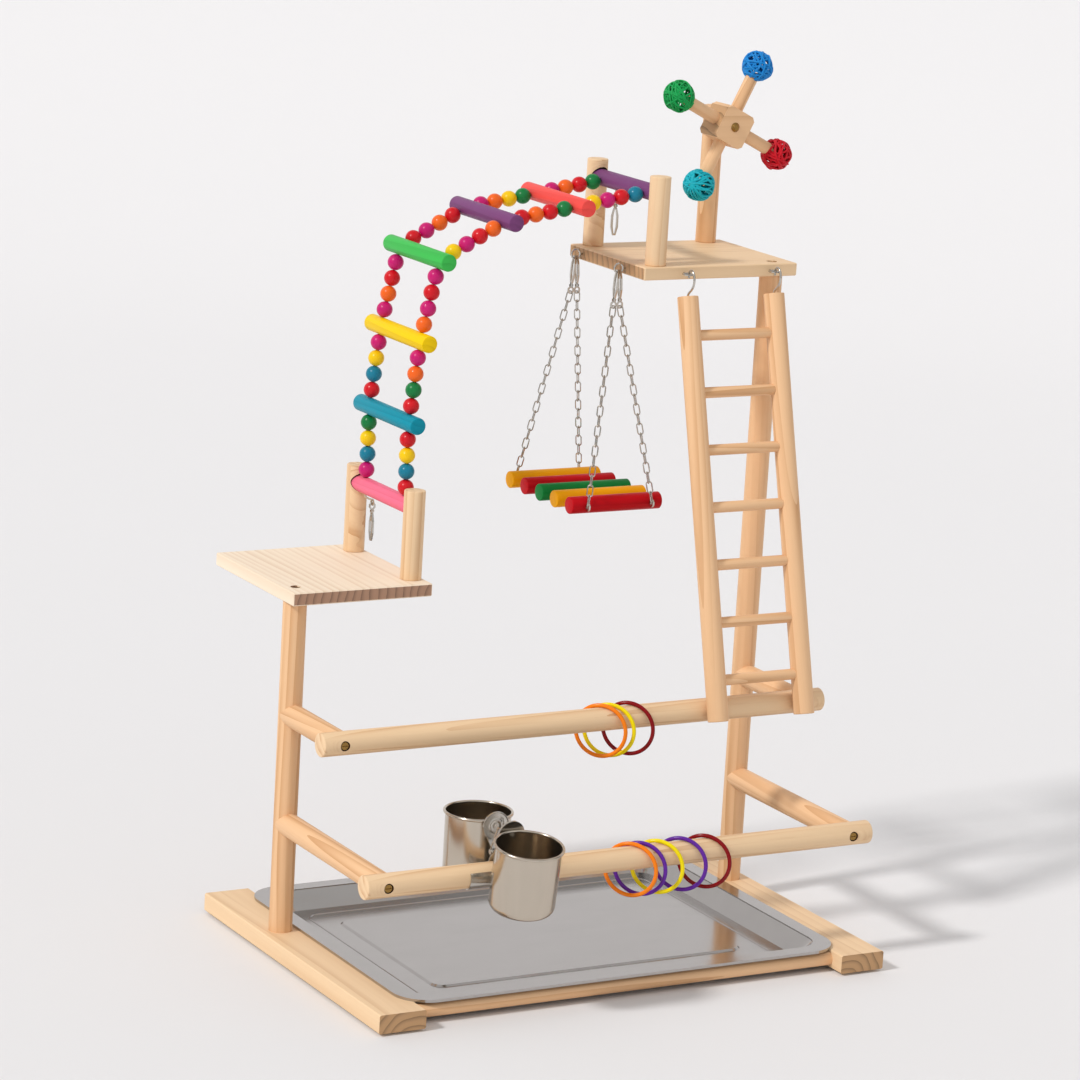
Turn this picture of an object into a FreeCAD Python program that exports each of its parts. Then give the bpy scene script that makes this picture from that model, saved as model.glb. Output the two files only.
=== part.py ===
import FreeCAD, Part
import math
import os
import re

from FreeCAD import Vector, Rotation, Placement

# Parrot play stand. X runs along the perches, Y to the back, Z up.
# Lengths are in millimetres and are taken from the left foot's outer face, the feet's front ends
# and the floor; centre_x and centre_y move the whole stand so that its box stands on the origin.

doc = FreeCAD.newDocument("parrot_play_stand")
sheet = doc.addObject("Spreadsheet::Sheet", "sizes")

SIZES = {
    # frame of the model
    "centre_x": 291.43, "centre_y": 175.79,
    # clearances: glued or screwed seats, pieces that rest, pieces that run
    "glue_gap": 0.05, "rest_gap": 0.3, "run_gap": 0.08,
    # base
    "base_width": 531.0, "foot_width": 46.5, "foot_height": 17.5, "foot_length": 368.0, "foot_edge": 1.2,
    "pad_radius": 8.0, "pad_height": 2.5, "pad_inset": 20.0,
    "brace_radius": 6.5, "brace_socket": 14.0, "brace_front_y": 22.0, "brace_inset": 17.0,
    # uprights
    "dowel_radius": 11.0, "post_inset": 20.5, "post_y": 245.0, "post_tenon_radius": 6.0, "post_tenon": 10.0,
    "board_thickness": 12.2, "board_edge": 1.0,
    "low_board_z": 336.0, "low_board_left": 7.0, "low_board_width": 142.5,
    "low_board_lip": 23.5, "low_board_depth": 167.0,
    "high_board_z": 623.0, "high_board_width": 169.0, "high_board_lip": 13.5, "high_board_depth": 142.0,
    # perches on their arms
    "perch_overhang": 0.6, "perch_left": 0.3, "perch_edge": 0.8,
    "high_perch_y": 141.5, "high_perch_z": 228.0, "low_perch_y": 44.6, "low_perch_z": 124.0,
    "screw_head_radius": 3.6, "screw_head": 2.2, "screw_sink": 1.2, "screw_radius": 1.9, "screw_length": 34.0,
    "screw_slot": 1.0, "board_head_radius": 5.0,
    # tray
    "tray_left": 35.4, "tray_front": 14.0, "tray_margin": 24.0, "tray_corner": 32.0, "tray_sheet": 0.9,
    "tray_rim": 15.0, "tray_lip": 2.6, "tray_well": 17.0, "tray_slope": 14.0, "tray_foot_corner": 16.0,
    "panel_inset_x": 38.0, "panel_inset_y": 44.0, "panel_rise": 1.6, "panel_slope": 2.0, "panel_corner": 10.0,
    # bridge posts and hanging bridge
    "stub_radius": 10.0, "stub_length": 84.0, "stub_step": 1.0, "bridge_width": 118.0,
    "low_stub_inset": 11.5, "high_stub_inset": 18.5, "socket_drop": 17.0, "socket_radius": 9.0,
    "rung_radius": 8.0, "rung_seat": 2.0, "bead_radius": 7.5, "bead_gap": 0.12, "cord_radius": 0.9,
    "cord_hole": 1.4, "cord_inset": 19.0, "heading_low": 84.5, "heading_high": 15.4, "heading_bend": 6.0,
    "tail_drop": 20.0, "low_tail": 15.0, "high_tail": 19.5, "tail_loop": 2.6, "tail_inset": 5.0,
    "snap_length": 38.0, "snap_width": 7.6, "snap_wire": 0.9, "snap_ring": 3.6,
    # wheel
    "wheel_post_inset": 23.0, "wheel_post_step": 118.0, "wheel_post_length": 134.0, "hub_drop": 16.3,
    "hub_size": 34.0, "hub_depth": 30.0, "hub_back": 17.3, "hub_chamfer": 3.5, "hub_turn": 26.5, "hub_gap": 0.6, "spoke_radius": 6.2,
    "spoke_seat": 8.0, "ball_reach": 64.7, "ball_radius": 17.0, "ball_strand": 1.3, "ball_seat": 8.0,
    "axle_radius": 2.0, "axle_seat": 13.0, "axle_head_radius": 4.6, "axle_head": 2.2,
    # ladder
    "stile_radius": 10.0, "stile_past": 11.7, "ladder_inset": 30.5, "ladder_spread": 95.5,
    "ladder_top_out": 9.5, "ladder_top_drop": 14.5, "step_radius": 5.2, "step_first": 37.0, "step_pitch": 54.1,
    "step_seat": 7.0, "hook_wire": 1.1, "hook_seat": 14.0,
    # screw eyes
    "eye_radius": 4.7, "eye_wire": 0.9, "eye_neck": 2.6, "eye_thread": 12.0,
    # swing
    "swing_inset": 35.5, "swing_spread": 82.0, "clip_spread": 1.2, "clip_lean": 4.0, "clip_length": 38.0,
    "clip_lift": 0.75,
    "seat_z": 407.0, "seat_length": 98.0, "seat_pitch": 29.2, "seat_radius": 8.2, "seat_inset": 14.0,
    "wire_radius": 1.0, "wire_eye": 3.2, "link_length": 9.2, "link_width": 6.6, "link_wire": 1.3,
    # rings on the perches
    "ring_radius": 24.5, "ring_wire": 1.9, "ring_yaw": 43.0, "ring_drop": 11.1,
    "high_ring_a": 291.4, "high_ring_b": 300.4, "high_ring_c": 320.8,
    "low_ring_a": 274.4, "low_ring_b": 284.5, "low_ring_c": 302.7, "low_ring_d": 327.5, "low_ring_e": 353.3,
    # cups and their double clip
    "clip_x": 138.0, "cup_radius": 30.0, "cup_height": 64.0, "cup_wall": 0.8, "cup_bead": 1.6,
    "cup_foot_radius": 8.0, "cup_rim_rise": 45.5, "front_tilt": 8.0, "disc_radius": 13.2, "disc_sheet": 1.0,
    "disc_rise": 40.0, "disc_out_front": 16.2, "disc_out_rear": 13.0, "jaw_length": 72.0, "jaw_sheet": 1.0, "jaw_top": 28.0, "jaw_bottom": 72.0,
    "lever_width": 16.0, "pin_rise": 20.5, "pin_radius": 1.5, "pin_length": 22.0, "knuckle": 2.7,
    "spring_wire": 0.6, "rivet_radius": 2.4,
}

ALIASES = set(SIZES)
for line, (alias, number) in enumerate(SIZES.items(), start=1):
    sheet.set("A%d" % line, alias)
    sheet.set("B%d" % line, repr(round(number, 6)))
    sheet.setAlias("B%d" % line, alias)
doc.recompute()
V = {alias: float(sheet.get(alias)) for alias in SIZES}

# sizes that follow others: each is a sum of named sizes
TIED = {
    "brace_rear_y": {"foot_length": 1, "brace_inset": -1},
    "tray_depth": {"foot_length": 1, "tray_margin": -1},
    "perch_length": {"base_width": 1, "perch_overhang": 1},
    "low_board_front": {"post_y": 1, "low_board_lip": -1},
    "high_board_front": {"post_y": 1, "high_board_lip": -1},
    "high_board_left": {"base_width": 1, "high_board_width": -1},
    "low_stub_x": {"low_board_left": 1, "low_board_width": 1, "low_stub_inset": -1},
    "high_stub_x": {"high_board_left": 1, "high_stub_inset": 1},
    "stub_front_y": {"post_y": 1, "stub_step": -1},
    "wheel_post_x": {"base_width": 1, "wheel_post_inset": -1},
    "wheel_post_y": {"post_y": 1, "wheel_post_step": 1},
    "ladder_left": {"base_width": 1, "ladder_inset": -1, "ladder_spread": -1},
    "ladder_top_y": {"high_board_front": 1, "ladder_top_out": -1},
    "ladder_top_z": {"high_board_z": 1, "ladder_top_drop": -1},
    "swing_front_y": {"high_board_front": 1, "swing_inset": 1},
    "swing_rear_y": {"swing_front_y": 1, "swing_spread": 1},
}
for alias, parts in TIED.items():
    V[alias] = sum(sign * V[part] for part, sign in parts.items())

X = Vector(1, 0, 0)
Y = Vector(0, 1, 0)
Z = Vector(0, 0, 1)
ALONG_X = Rotation(Y, 90)
ALONG_Y = Rotation(X, -90)
UPRIGHT = Rotation()
nodes = []


def cell(name):
    """A size name as a cell of the sheet, or as the sum that it follows."""
    if name in TIED:
        return "(%s)" % " + ".join("%d * %s" % (sign, cell(part)) for part, sign in TIED[name].items())
    return "sizes." + name if name in ALIASES else name


def ref(text):
    """Turns the size names in a formula into cells of the sheet."""
    return re.sub(r"[A-Za-z_]+", lambda m: cell(m.group(0)), str(text))


def bind(obj, **formulas):
    for prop, text in formulas.items():
        obj.setExpression(prop, ref(text))
    return obj


def put(obj, x, y, z, turn=UPRIGHT):
    """Places an object by formulas given in stand coordinates."""
    obj.Placement = Placement(Vector(), turn)
    obj.setExpression("Placement.Base.x", ref("%s - centre_x" % x))
    obj.setExpression("Placement.Base.y", ref("%s - centre_y" % y))
    obj.setExpression("Placement.Base.z", ref(z))
    return obj


def spot(x, y, z):
    """A point given in stand coordinates, in the model's frame."""
    return Vector(x - V["centre_x"], y - V["centre_y"], z)


def block(name, length, width, height, x, y, z, turn=UPRIGHT):
    obj = bind(doc.addObject("Part::Box", name), Length=length, Width=width, Height=height)
    return put(obj, x, y, z, turn)


def rod(name, radius, length, x, y, z, turn=UPRIGHT):
    obj = bind(doc.addObject("Part::Cylinder", name), Radius=radius, Height=length)
    return put(obj, x, y, z, turn)


def cone(name, radius_a, radius_b, height, x, y, z, turn=UPRIGHT):
    obj = bind(doc.addObject("Part::Cone", name), Radius1=radius_a, Radius2=radius_b, Height=height)
    return put(obj, x, y, z, turn)


def cut(name, base, tools):
    tool = tools[0]
    if len(tools) > 1:
        tool = doc.addObject("Part::MultiFuse", name + "_tools")
        tool.Shapes = tools
    obj = doc.addObject("Part::Cut", name)
    obj.Base = base
    obj.Tool = tool
    return obj


def fuse(name, shapes):
    obj = doc.addObject("Part::MultiFuse", name)
    obj.Shapes = shapes
    return obj


def group(name, shapes):
    obj = doc.addObject("Part::Compound", name)
    obj.Links = shapes
    return obj


def keep(name, obj):
    """Marks an object as a finished piece of the stand."""
    obj.Label = name
    nodes.append((name, obj))
    return obj


def shape_node(name, shape, placement=None):
    obj = doc.addObject("Part::Feature", name)
    obj.Shape = shape
    if placement is not None:
        obj.Placement = placement
    return keep(name, obj)


def edges_where(obj, test):
    doc.recompute()
    return [i for i, e in enumerate(obj.Shape.Edges, start=1) if test(e)]


def chamfered(name, base, size, test):
    obj = doc.addObject("Part::Chamfer", name)
    obj.Base = base
    obj.Edges = [(i, size, size) for i in edges_where(base, test)]
    return obj


def filleted(name, base, size, test):
    obj = doc.addObject("Part::Fillet", name)
    obj.Base = base
    obj.Edges = [(i, size, size) for i in edges_where(base, test)]
    return obj


def round_edge(edge):
    return edge.Curve.TypeId == "Part::GeomCircle"


def runs_along(edge, axis):
    if edge.Curve.TypeId != "Part::GeomLine":
        return False
    ends = edge.Vertexes
    return abs((ends[1].Point - ends[0].Point).normalize().dot(axis)) > 0.999


# ---------------------------------------------------------------- base: feet, pads and braces

FOOT_TOP = "pad_height + foot_height"
BRACE_Z = "pad_height + foot_height / 2"
POST_X = {"left": "post_inset", "right": "base_width - post_inset"}

for side, left in (("left", "0"), ("right", "base_width - foot_width")):
    bar = block("foot_bar_" + side, "foot_width", "foot_length", "foot_height", left, "0", "pad_height")
    bar = chamfered("foot_edges_" + side, bar, V["foot_edge"], lambda e: runs_along(e, Y))
    bores = []
    for place, y in (("front", "brace_front_y"), ("rear", "brace_rear_y")):
        start = "foot_width - brace_socket" if side == "left" else "base_width - foot_width - 1"
        bores.append(rod("brace_bore_%s_%s" % (side, place), "brace_radius + glue_gap", "brace_socket + 1",
                         start, y, BRACE_Z, ALONG_X))
    bores.append(rod("tenon_bore_" + side, "post_tenon_radius + glue_gap", "post_tenon + 1",
                     POST_X[side], "post_y", FOOT_TOP + " - post_tenon", UPRIGHT))
    keep("foot_" + side, cut("foot_" + side, bar, bores))

pads = []
for side in ("left", "right"):
    for place, y in (("front", "pad_inset"), ("rear", "foot_length - pad_inset")):
        middle = "foot_width / 2" if side == "left" else "base_width - foot_width / 2"
        pads.append(cone("pad_%s_%s" % (side, place), "pad_radius * 0.85", "pad_radius", "pad_height",
                         middle, y, "0"))
keep("foot_pads", group("foot_pads", pads))

braces = []
for place, y in (("front", "brace_front_y"), ("rear", "brace_rear_y")):
    braces.append(rod("brace_" + place, "brace_radius", "base_width - 2 * foot_width + 2 * brace_socket - 2 * glue_gap",
                      "foot_width - brace_socket + glue_gap", y, BRACE_Z, ALONG_X))
keep("braces", group("braces", braces))

# ---------------------------------------------------------------- screws, shared by holes and solids

SCREWS = [
    ("low_left", POST_X["left"], "low_perch_y - dowel_radius", "low_perch_z", ALONG_Y, "screw_head_radius"),
    ("low_right", POST_X["right"], "low_perch_y - dowel_radius", "low_perch_z", ALONG_Y, "screw_head_radius"),
    ("high_left", POST_X["left"], "high_perch_y - dowel_radius", "high_perch_z", ALONG_Y, "screw_head_radius"),
    ("high_right", POST_X["right"], "high_perch_y - dowel_radius", "high_perch_z", ALONG_Y, "screw_head_radius"),
    ("low_board", POST_X["left"], "post_y", "low_board_z + board_thickness", Rotation(X, 180), "board_head_radius"),
    ("high_board", POST_X["right"], "post_y", "high_board_z + board_thickness", Rotation(X, 180), "board_head_radius"),
]


def screw_parts(name, x, y, z, turn, head, gap, slack):
    """Head and shank of a screw that points along turn, sunk under the face at x, y, z."""
    into = turn.multVec(Z)
    parts = []
    for piece, radius, depth, start in (
        ("head", head, "screw_head", "screw_sink"),
        ("shank", "screw_radius", "screw_length", "screw_sink + screw_head"),
    ):
        if gap:
            start = "0 - 1" if piece == "head" else start
            depth = depth + " + screw_sink + 1" if piece == "head" else depth + " + %s" % slack
            radius = radius + " + glue_gap"
        sx = "%s + (%s) * %d" % (x, start, round(into.x))
        sy = "%s + (%s) * %d" % (y, start, round(into.y))
        sz = "%s + (%s) * %d" % (z, start, round(into.z))
        parts.append(rod("screw_%s_%s_%s" % (name, piece, "bore" if gap else "solid"), radius, depth, sx, sy, sz, turn))
    return parts


screw_bores = {s[0]: screw_parts(*s, True, "glue_gap") for s in SCREWS}


def bore_copy(name, tag):
    """A screw's bore again, for the second piece that the screw goes through."""
    row = next(s for s in SCREWS if s[0] == name)
    return screw_parts(name + "_" + tag, *row[1:], True, "glue_gap")


screw_solids = []
for row in SCREWS:
    head, shank = screw_parts(*row, False, "0")
    into = row[4].multVec(Z)
    body = fuse("screw_%s_body" % row[0], [head, shank])
    flat = abs(into.z) > 0.5
    drive = block("screw_%s_drive" % row[0], "%s * 1.6" % row[5],
                  "screw_slot" if flat else "screw_slot * 2", "screw_slot * 2" if flat else "screw_slot",
                  "%s - %s * 0.8" % (row[1], row[5]),
                  "%s - screw_slot / %d + screw_sink * %d" % (row[2], 2 if flat else 1, round(into.y)),
                  "%s - screw_slot / %d + screw_sink * %d" % (row[3], 1 if flat else 2, round(into.z)))
    screw_solids.append(cut("screw_" + row[0], body, [drive]))

# ---------------------------------------------------------------- posts

for side, top, board in (("left", "low_board_z", "low_board"), ("right", "high_board_z", "high_board")):
    shaft = rod("post_shaft_" + side, "dowel_radius", top + " - (%s)" % FOOT_TOP, POST_X[side], "post_y", FOOT_TOP)
    tenon = rod("post_tenon_" + side, "post_tenon_radius", "post_tenon - glue_gap", POST_X[side], "post_y",
                FOOT_TOP + " - post_tenon + glue_gap")
    whole = fuse("post_whole_" + side, [shaft, tenon])
    keep("post_" + side, cut("post_" + side, whole, bore_copy(board, "post")))

# ---------------------------------------------------------------- arms, coped to post and perch

arms = []
for level, py, pz in (("upper", "high_perch_y", "high_perch_z"), ("lower", "low_perch_y", "low_perch_z")):
    for side in ("left", "right"):
        tag = "%s_%s" % (level, side)
        screw = ("high_" if level == "upper" else "low_") + side
        bar = rod("arm_bar_" + tag, "dowel_radius", "post_y - " + py, POST_X[side], py, pz, ALONG_Y)
        at_post = rod("arm_cope_post_" + tag, "dowel_radius + glue_gap", "4 * dowel_radius", POST_X[side], "post_y",
                      pz + " - 2 * dowel_radius")
        at_perch = rod("arm_cope_perch_" + tag, "dowel_radius + glue_gap", "4 * dowel_radius",
                       POST_X[side] + " - 2 * dowel_radius", py, pz, ALONG_X)
        arms.append(cut("arm_" + tag, bar, [at_post, at_perch] + bore_copy(screw, "arm")))
    stick = rod("perch_stick_" + level, "dowel_radius", "perch_length", "perch_left", py, pz, ALONG_X)
    stick = chamfered("perch_ends_" + level, stick, V["perch_edge"], round_edge)
    first = "high_" if level == "upper" else "low_"
    keep("perch_" + level, cut("perch_" + level, stick, screw_bores[first + "left"] + screw_bores[first + "right"]))

keep("arms", group("arms", arms))

# ---------------------------------------------------------------- tray, pressed from one sheet


def rounded(left, front, right, rear, radius, z):
    """A closed wire: a rectangle with round corners."""
    r = max(min(radius, (right - left) / 2 - 0.5, (rear - front) / 2 - 0.5), 0.4)
    k = r * (1 - math.sqrt(0.5))
    corners = [(right, front, -1, 1), (right, rear, -1, -1), (left, rear, 1, -1), (left, front, 1, 1)]
    edges = []
    last = None
    first = None
    for i, (cx, cy, sx, sy) in enumerate(corners):
        a = spot(cx + sx * r, cy, z) if i % 2 == 0 else spot(cx, cy + sy * r, z)
        b = spot(cx, cy + sy * r, z) if i % 2 == 0 else spot(cx + sx * r, cy, z)
        mid = spot(cx + sx * k, cy + sy * k, z)
        if last is not None:
            edges.append(Part.LineSegment(last, a).toShape())
        else:
            first = a
        edges.append(Part.Arc(a, mid, b).toShape())
        last = b
    edges.append(Part.LineSegment(last, first).toShape())
    return Part.Wire(edges)


def plate(left, front, right, rear, radius, z, height):
    return Part.Face(rounded(left, front, right, rear, radius, z)).extrude(Vector(0, 0, height))


def pan(left, front, right, rear, radius_a, radius_b, z_top, z_low, slope):
    """A tapered block between two rounded rectangles, for the well and the raised panel."""
    top = rounded(left, front, right, rear, radius_a, z_top)
    low = rounded(left + slope, front + slope, right - slope, rear - slope, radius_b, z_low)
    return Part.makeLoft([top, low], True, True)


def tray_shape():
    t = V["tray_sheet"]
    left = V["tray_left"]
    right = V["base_width"] - V["tray_left"]
    front = V["tray_front"]
    rear = front + V["tray_depth"]
    rest = V["pad_height"] + V["foot_height"]
    top = rest + V["tray_lip"]
    rim = V["tray_rim"]
    floor = top - V["tray_well"]
    skin = plate(left, front, right, rear, V["tray_corner"], rest, V["tray_lip"])
    skin = skin.cut(plate(left + t, front + t, right - t, rear - t, V["tray_corner"] - t, rest, V["tray_lip"] - t))
    well = (left + rim, front + rim, right - rim, rear - rim)
    side = V["tray_slope"]
    outer = pan(well[0] - t, well[1] - t, well[2] + t, well[3] + t, V["tray_corner"] - rim + t + 6,
                V["tray_foot_corner"], top - t, floor - t, side)
    inner = pan(*well, V["tray_corner"] - rim + 6, V["tray_foot_corner"] - t, top, floor, side)
    skin = skin.cut(plate(*well, V["tray_corner"] - rim + 6, top - 2 * t, 4 * t)).fuse(outer.cut(inner))
    skin = skin.cut(plate(*well, V["tray_corner"] - rim + 6, top, 4 * t))
    inset_x = side + V["panel_inset_x"]
    inset_y = side + V["panel_inset_y"]
    raised = (well[0] + inset_x, well[1] + inset_y, well[2] - inset_x, well[3] - inset_y)
    grow = V["panel_slope"]
    low = (raised[0] - grow, raised[1] - grow, raised[2] + grow, raised[3] + grow)
    up = V["panel_rise"]
    bump = Part.makeLoft([rounded(*low, V["panel_corner"] + grow, floor), rounded(*raised, V["panel_corner"], floor + up)],
                         True, True)
    hollow = bump.translated(Vector(0, 0, -t))
    return skin.cut(hollow).fuse(bump).cut(hollow).removeSplitter()


shape_node("tray", tray_shape())

# ---------------------------------------------------------------- boards


def board(name, left, front, width, depth, z, side, bores, x, y):
    slab = block(name + "_slab", width, depth, "board_thickness", left, front, z)
    slab = chamfered(name + "_edges", slab, V["board_edge"], lambda e: True)
    keep(name, cut(name, slab, bores))


EYES = []
for place, y in (("front", "swing_front_y"), ("rear", "swing_rear_y")):
    EYES.append(("swing_" + place, "high_board_left", y, "high_board_z + board_thickness / 2", ALONG_X))
for place, x in (("left", "ladder_left"), ("right", "ladder_left + ladder_spread")):
    EYES.append(("ladder_" + place, x, "high_board_front", "high_board_z + board_thickness / 2", ALONG_Y))

eye_bores = [rod("eye_bore_" + e[0], "eye_wire + glue_gap", "eye_thread + glue_gap", e[1], e[2], e[3], e[4]) for e in EYES]

board("platform_lower", "low_board_left", "low_board_front", "low_board_width", "low_board_depth", "low_board_z",
      "left", screw_bores["low_board"], "post_inset", "post_y")
board("platform_upper", "high_board_left", "high_board_front", "high_board_width", "high_board_depth",
      "high_board_z", "right", screw_bores["high_board"] + eye_bores, "base_width - post_inset", "post_y")

# ---------------------------------------------------------------- hanging bridge

RUNG_FRONT = V["stub_front_y"]
RUNG_REAR = V["stub_front_y"] + V["bridge_width"]
GAP = 2 * V["rung_radius"] + 8 * V["bead_radius"] + 5 * V["bead_gap"]
LOW_TOP = V["low_board_z"] + V["board_thickness"]
HIGH_TOP = V["high_board_z"] + V["board_thickness"]
START = (V["low_stub_x"], LOW_TOP + V["stub_length"] - V["socket_drop"])
END = (V["high_stub_x"], HIGH_TOP + V["stub_length"] - V["socket_drop"])


def arch(low, high):
    """Rung centres in the XZ plane for two mean headings, in degrees."""
    bend = V["heading_bend"]
    turns = [low + bend, low, low - bend, high + 2 * bend, high - bend, high - bend]
    points = [START]
    for a in turns:
        points.append((points[-1][0] + GAP * math.cos(math.radians(a)), points[-1][1] + GAP * math.sin(math.radians(a))))
    return points


def closed_arch():
    """Turns the two halves of the arch until its last rung lies in the upper posts' sockets."""
    low = V["heading_low"]
    high = V["heading_high"]
    for _ in range(40):
        p = arch(low, high)[-1]
        ex = END[0] - p[0]
        ez = END[1] - p[1]
        if math.hypot(ex, ez) < 1e-9:
            break
        a = arch(low + 0.01, high)[-1]
        b = arch(low, high + 0.01)[-1]
        axx = (a[0] - p[0]) / 0.01
        azz = (a[1] - p[1]) / 0.01
        bxx = (b[0] - p[0]) / 0.01
        bzz = (b[1] - p[1]) / 0.01
        det = axx * bzz - bxx * azz
        low += (ex * bzz - bxx * ez) / det
        high += (axx * ez - ex * azz) / det
    return arch(low, high)


RUNGS = closed_arch()
CORD_Y = {"front": RUNG_FRONT + V["cord_inset"], "rear": RUNG_REAR - V["cord_inset"]}


def section(middle, way, side, radius, sides):
    """Points of a regular polygon about middle, square to way, the first one towards side."""
    up = (side - way * side.dot(way)).normalize()
    across = way.cross(up)
    step = 2 * math.pi / sides
    return [middle + up * (radius * math.cos(k * step)) + across * (radius * math.sin(k * step)) for k in range(sides)]


def solid_of(faces):
    """A solid from closed lists of points, each a flat face."""
    solid = Part.Solid(Part.Shell([Part.Face(Part.makePolygon(f + [f[0]])) for f in faces]))
    if solid.Volume < 0:
        solid.reverse()
    return solid


def tube(points, radius, sides, side, closed=False):
    """A bent wire in flat facets, mitred at each point; side gives the wire's first edge."""
    count = len(points)
    legs = [(points[(i + 1) % count] - points[i]).normalize() for i in range(count if closed else count - 1)]
    ring = section(points[0], legs[0], side, radius, sides)
    rings = []
    for i in range(count):
        back = legs[i - 1] if closed or i > 0 else legs[0]
        ahead = legs[i] if i < len(legs) else legs[-1]
        plane = (back + ahead).normalize()
        ring = [v + ahead * ((points[i] - v).dot(plane) / ahead.dot(plane)) for v in ring] if i == 0 else \
               [v + back * ((points[i] - v).dot(plane) / back.dot(plane)) for v in ring]
        rings.append(ring)
    faces = []
    for i in range(count if closed else count - 1):
        a = rings[i]
        b = rings[(i + 1) % count]
        faces += [[a[k], a[(k + 1) % sides], b[(k + 1) % sides], b[k]] for k in range(sides)]
    if not closed:
        faces += [rings[0], rings[-1]]
    return solid_of(faces)


def circle(middle, radius, normal, start, count):
    """Points round a circle, the first one towards start."""
    return section(middle, normal, start, radius, count)


def gap_way(i, j):
    """Direction from rung i to rung j."""
    return Vector(RUNGS[j][0] - RUNGS[i][0], 0, RUNGS[j][1] - RUNGS[i][1]).normalize()


def cord_bore(y, i, j, past):
    """The hole for a cord in rung i, drilled along the gap towards rung j and a way past the centre."""
    way = gap_way(i, j)
    start = spot(RUNGS[i][0], y, RUNGS[i][1]) - way * past
    return Part.makeCylinder(V["cord_hole"], 2 * V["rung_radius"] + past, start, way)


TAILS = []
for i, j, reach, face in ((0, 1, V["low_tail"], X), (len(RUNGS) - 1, len(RUNGS) - 2, V["high_tail"], Y)):
    start = spot(RUNGS[i][0], CORD_Y["rear"], RUNGS[i][1])
    loop = spot(RUNGS[i][0] + reach, RUNG_REAR - V["tail_inset"], RUNGS[i][1] - V["tail_drop"])
    top = loop + Z * V["tail_loop"]
    out = start - gap_way(i, j) * (V["rung_radius"] + 2.5)
    TAILS.append((loop, [out, out + (top - out) * 0.5 - Z * 0.8, top], face))

cords = []
for place, y in CORD_Y.items():
    points = [spot(x, y, z) for x, z in RUNGS]
    if place == "rear":
        points = TAILS[0][1][::-1] + points + TAILS[1][1]
    else:
        ends = [a - gap_way(i, j) * (V["rung_radius"] - 1) for a, i, j in ((points[0], 0, 1), (points[-1], -1, -2))]
        points = [ends[0]] + points + [ends[1]]
    cord = tube(points, V["cord_radius"], 6, Y)
    if place == "rear":
        for loop, tail, face in TAILS:
            cord = cord.fuse(tube(circle(loop, V["tail_loop"], face, Z, 8), V["cord_radius"], 6, face, True))
    cords.append(cord)

RUNG_COLOURS = ["pink", "teal", "yellow", "green", "purple", "coral", "purple"]
rung_sets = {}
for i, colour in enumerate(RUNG_COLOURS):
    x, z = RUNGS[i]
    plugged = i in (0, len(RUNGS) - 1)
    reach = V["rung_seat"] if plugged else 0.0
    stick = Part.makeCylinder(V["rung_radius"], RUNG_REAR - RUNG_FRONT - 2 * reach,
                              spot(x, RUNG_FRONT + reach, z), Y)
    if not plugged:
        stick = stick.makeChamfer(0.7, [e for e in stick.Edges if e.Curve.TypeId == "Part::GeomCircle"])
    past = 2 * V["rung_radius"] if plugged else V["cord_hole"]
    bores = [cord_bore(y, i, j, past) for y in CORD_Y.values() for j in (i - 1, i + 1) if 0 <= j < len(RUNGS)]
    rung_sets.setdefault(colour, []).append(stick.cut(bores))
for colour, sticks in rung_sets.items():
    shape_node("bridge_rung_" + colour, Part.makeCompound(sticks))

shape_node("bridge_cords", Part.makeCompound(cords))

BEADS = {
    ("rear", 0): "magenta teal yellow green", ("front", 0): "red teal yellow red",
    ("rear", 1): "red teal yellow magenta", ("front", 1): "red green orange magenta",
    ("rear", 2): "magenta orange red magenta", ("front", 2): "orange magenta red magenta",
    ("rear", 3): "red magenta orange red", ("front", 3): "yellow magenta red orange",
    ("rear", 4): "magenta orange yellow green", ("front", 4): "red orange red green",
    ("rear", 5): "magenta orange red green", ("front", 5): "yellow magenta red teal",
}


def turned(profile, sides):
    """A solid turned about Z from a closed profile of (radius, height) points, in flat facets."""
    faces = []
    for k in range(sides):
        a0 = 2 * math.pi * k / sides
        a1 = 2 * math.pi * (k + 1) / sides
        for i in range(len(profile)):
            (r0, z0), (r1, z1) = profile[i], profile[(i + 1) % len(profile)]
            face = []
            for r, z, a in ((r0, z0, a0), (r0, z0, a1), (r1, z1, a1), (r1, z1, a0)):
                corner = Vector(r * math.cos(a), r * math.sin(a), z)
                if not face or (corner - face[-1]).Length > 1e-9 and (corner - face[0]).Length > 1e-9:
                    face.append(corner)
            if len(face) > 2:
                faces.append(face)
    return solid_of(faces)


def bead_solid():
    """A round bead, drilled, whose facets lie on its ball."""
    r = V["bead_radius"]
    hole = V["cord_hole"] + 0.3
    end = math.sqrt(r * r - hole * hole)
    return turned([(hole, -end), (r * 0.84, -r * 0.54), (r * 0.84, r * 0.54), (hole, end)], 9)


bead = bead_solid()
bead_sets = {}
for (side, gap), colours in BEADS.items():
    a = spot(RUNGS[gap][0], CORD_Y[side], RUNGS[gap][1])
    b = spot(RUNGS[gap + 1][0], CORD_Y[side], RUNGS[gap + 1][1])
    way = (b - a).normalize()
    for k, colour in enumerate(colours.split()):
        along = V["rung_radius"] + V["bead_gap"] + V["bead_radius"] + k * (2 * V["bead_radius"] + V["bead_gap"])
        one = bead.copy()
        one.Placement = Placement(a + way * along, Rotation(Z, way))
        bead_sets.setdefault(colour, []).append(one)
for colour, beads in bead_sets.items():
    shape_node("beads_" + colour, Part.makeCompound(beads))

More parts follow.
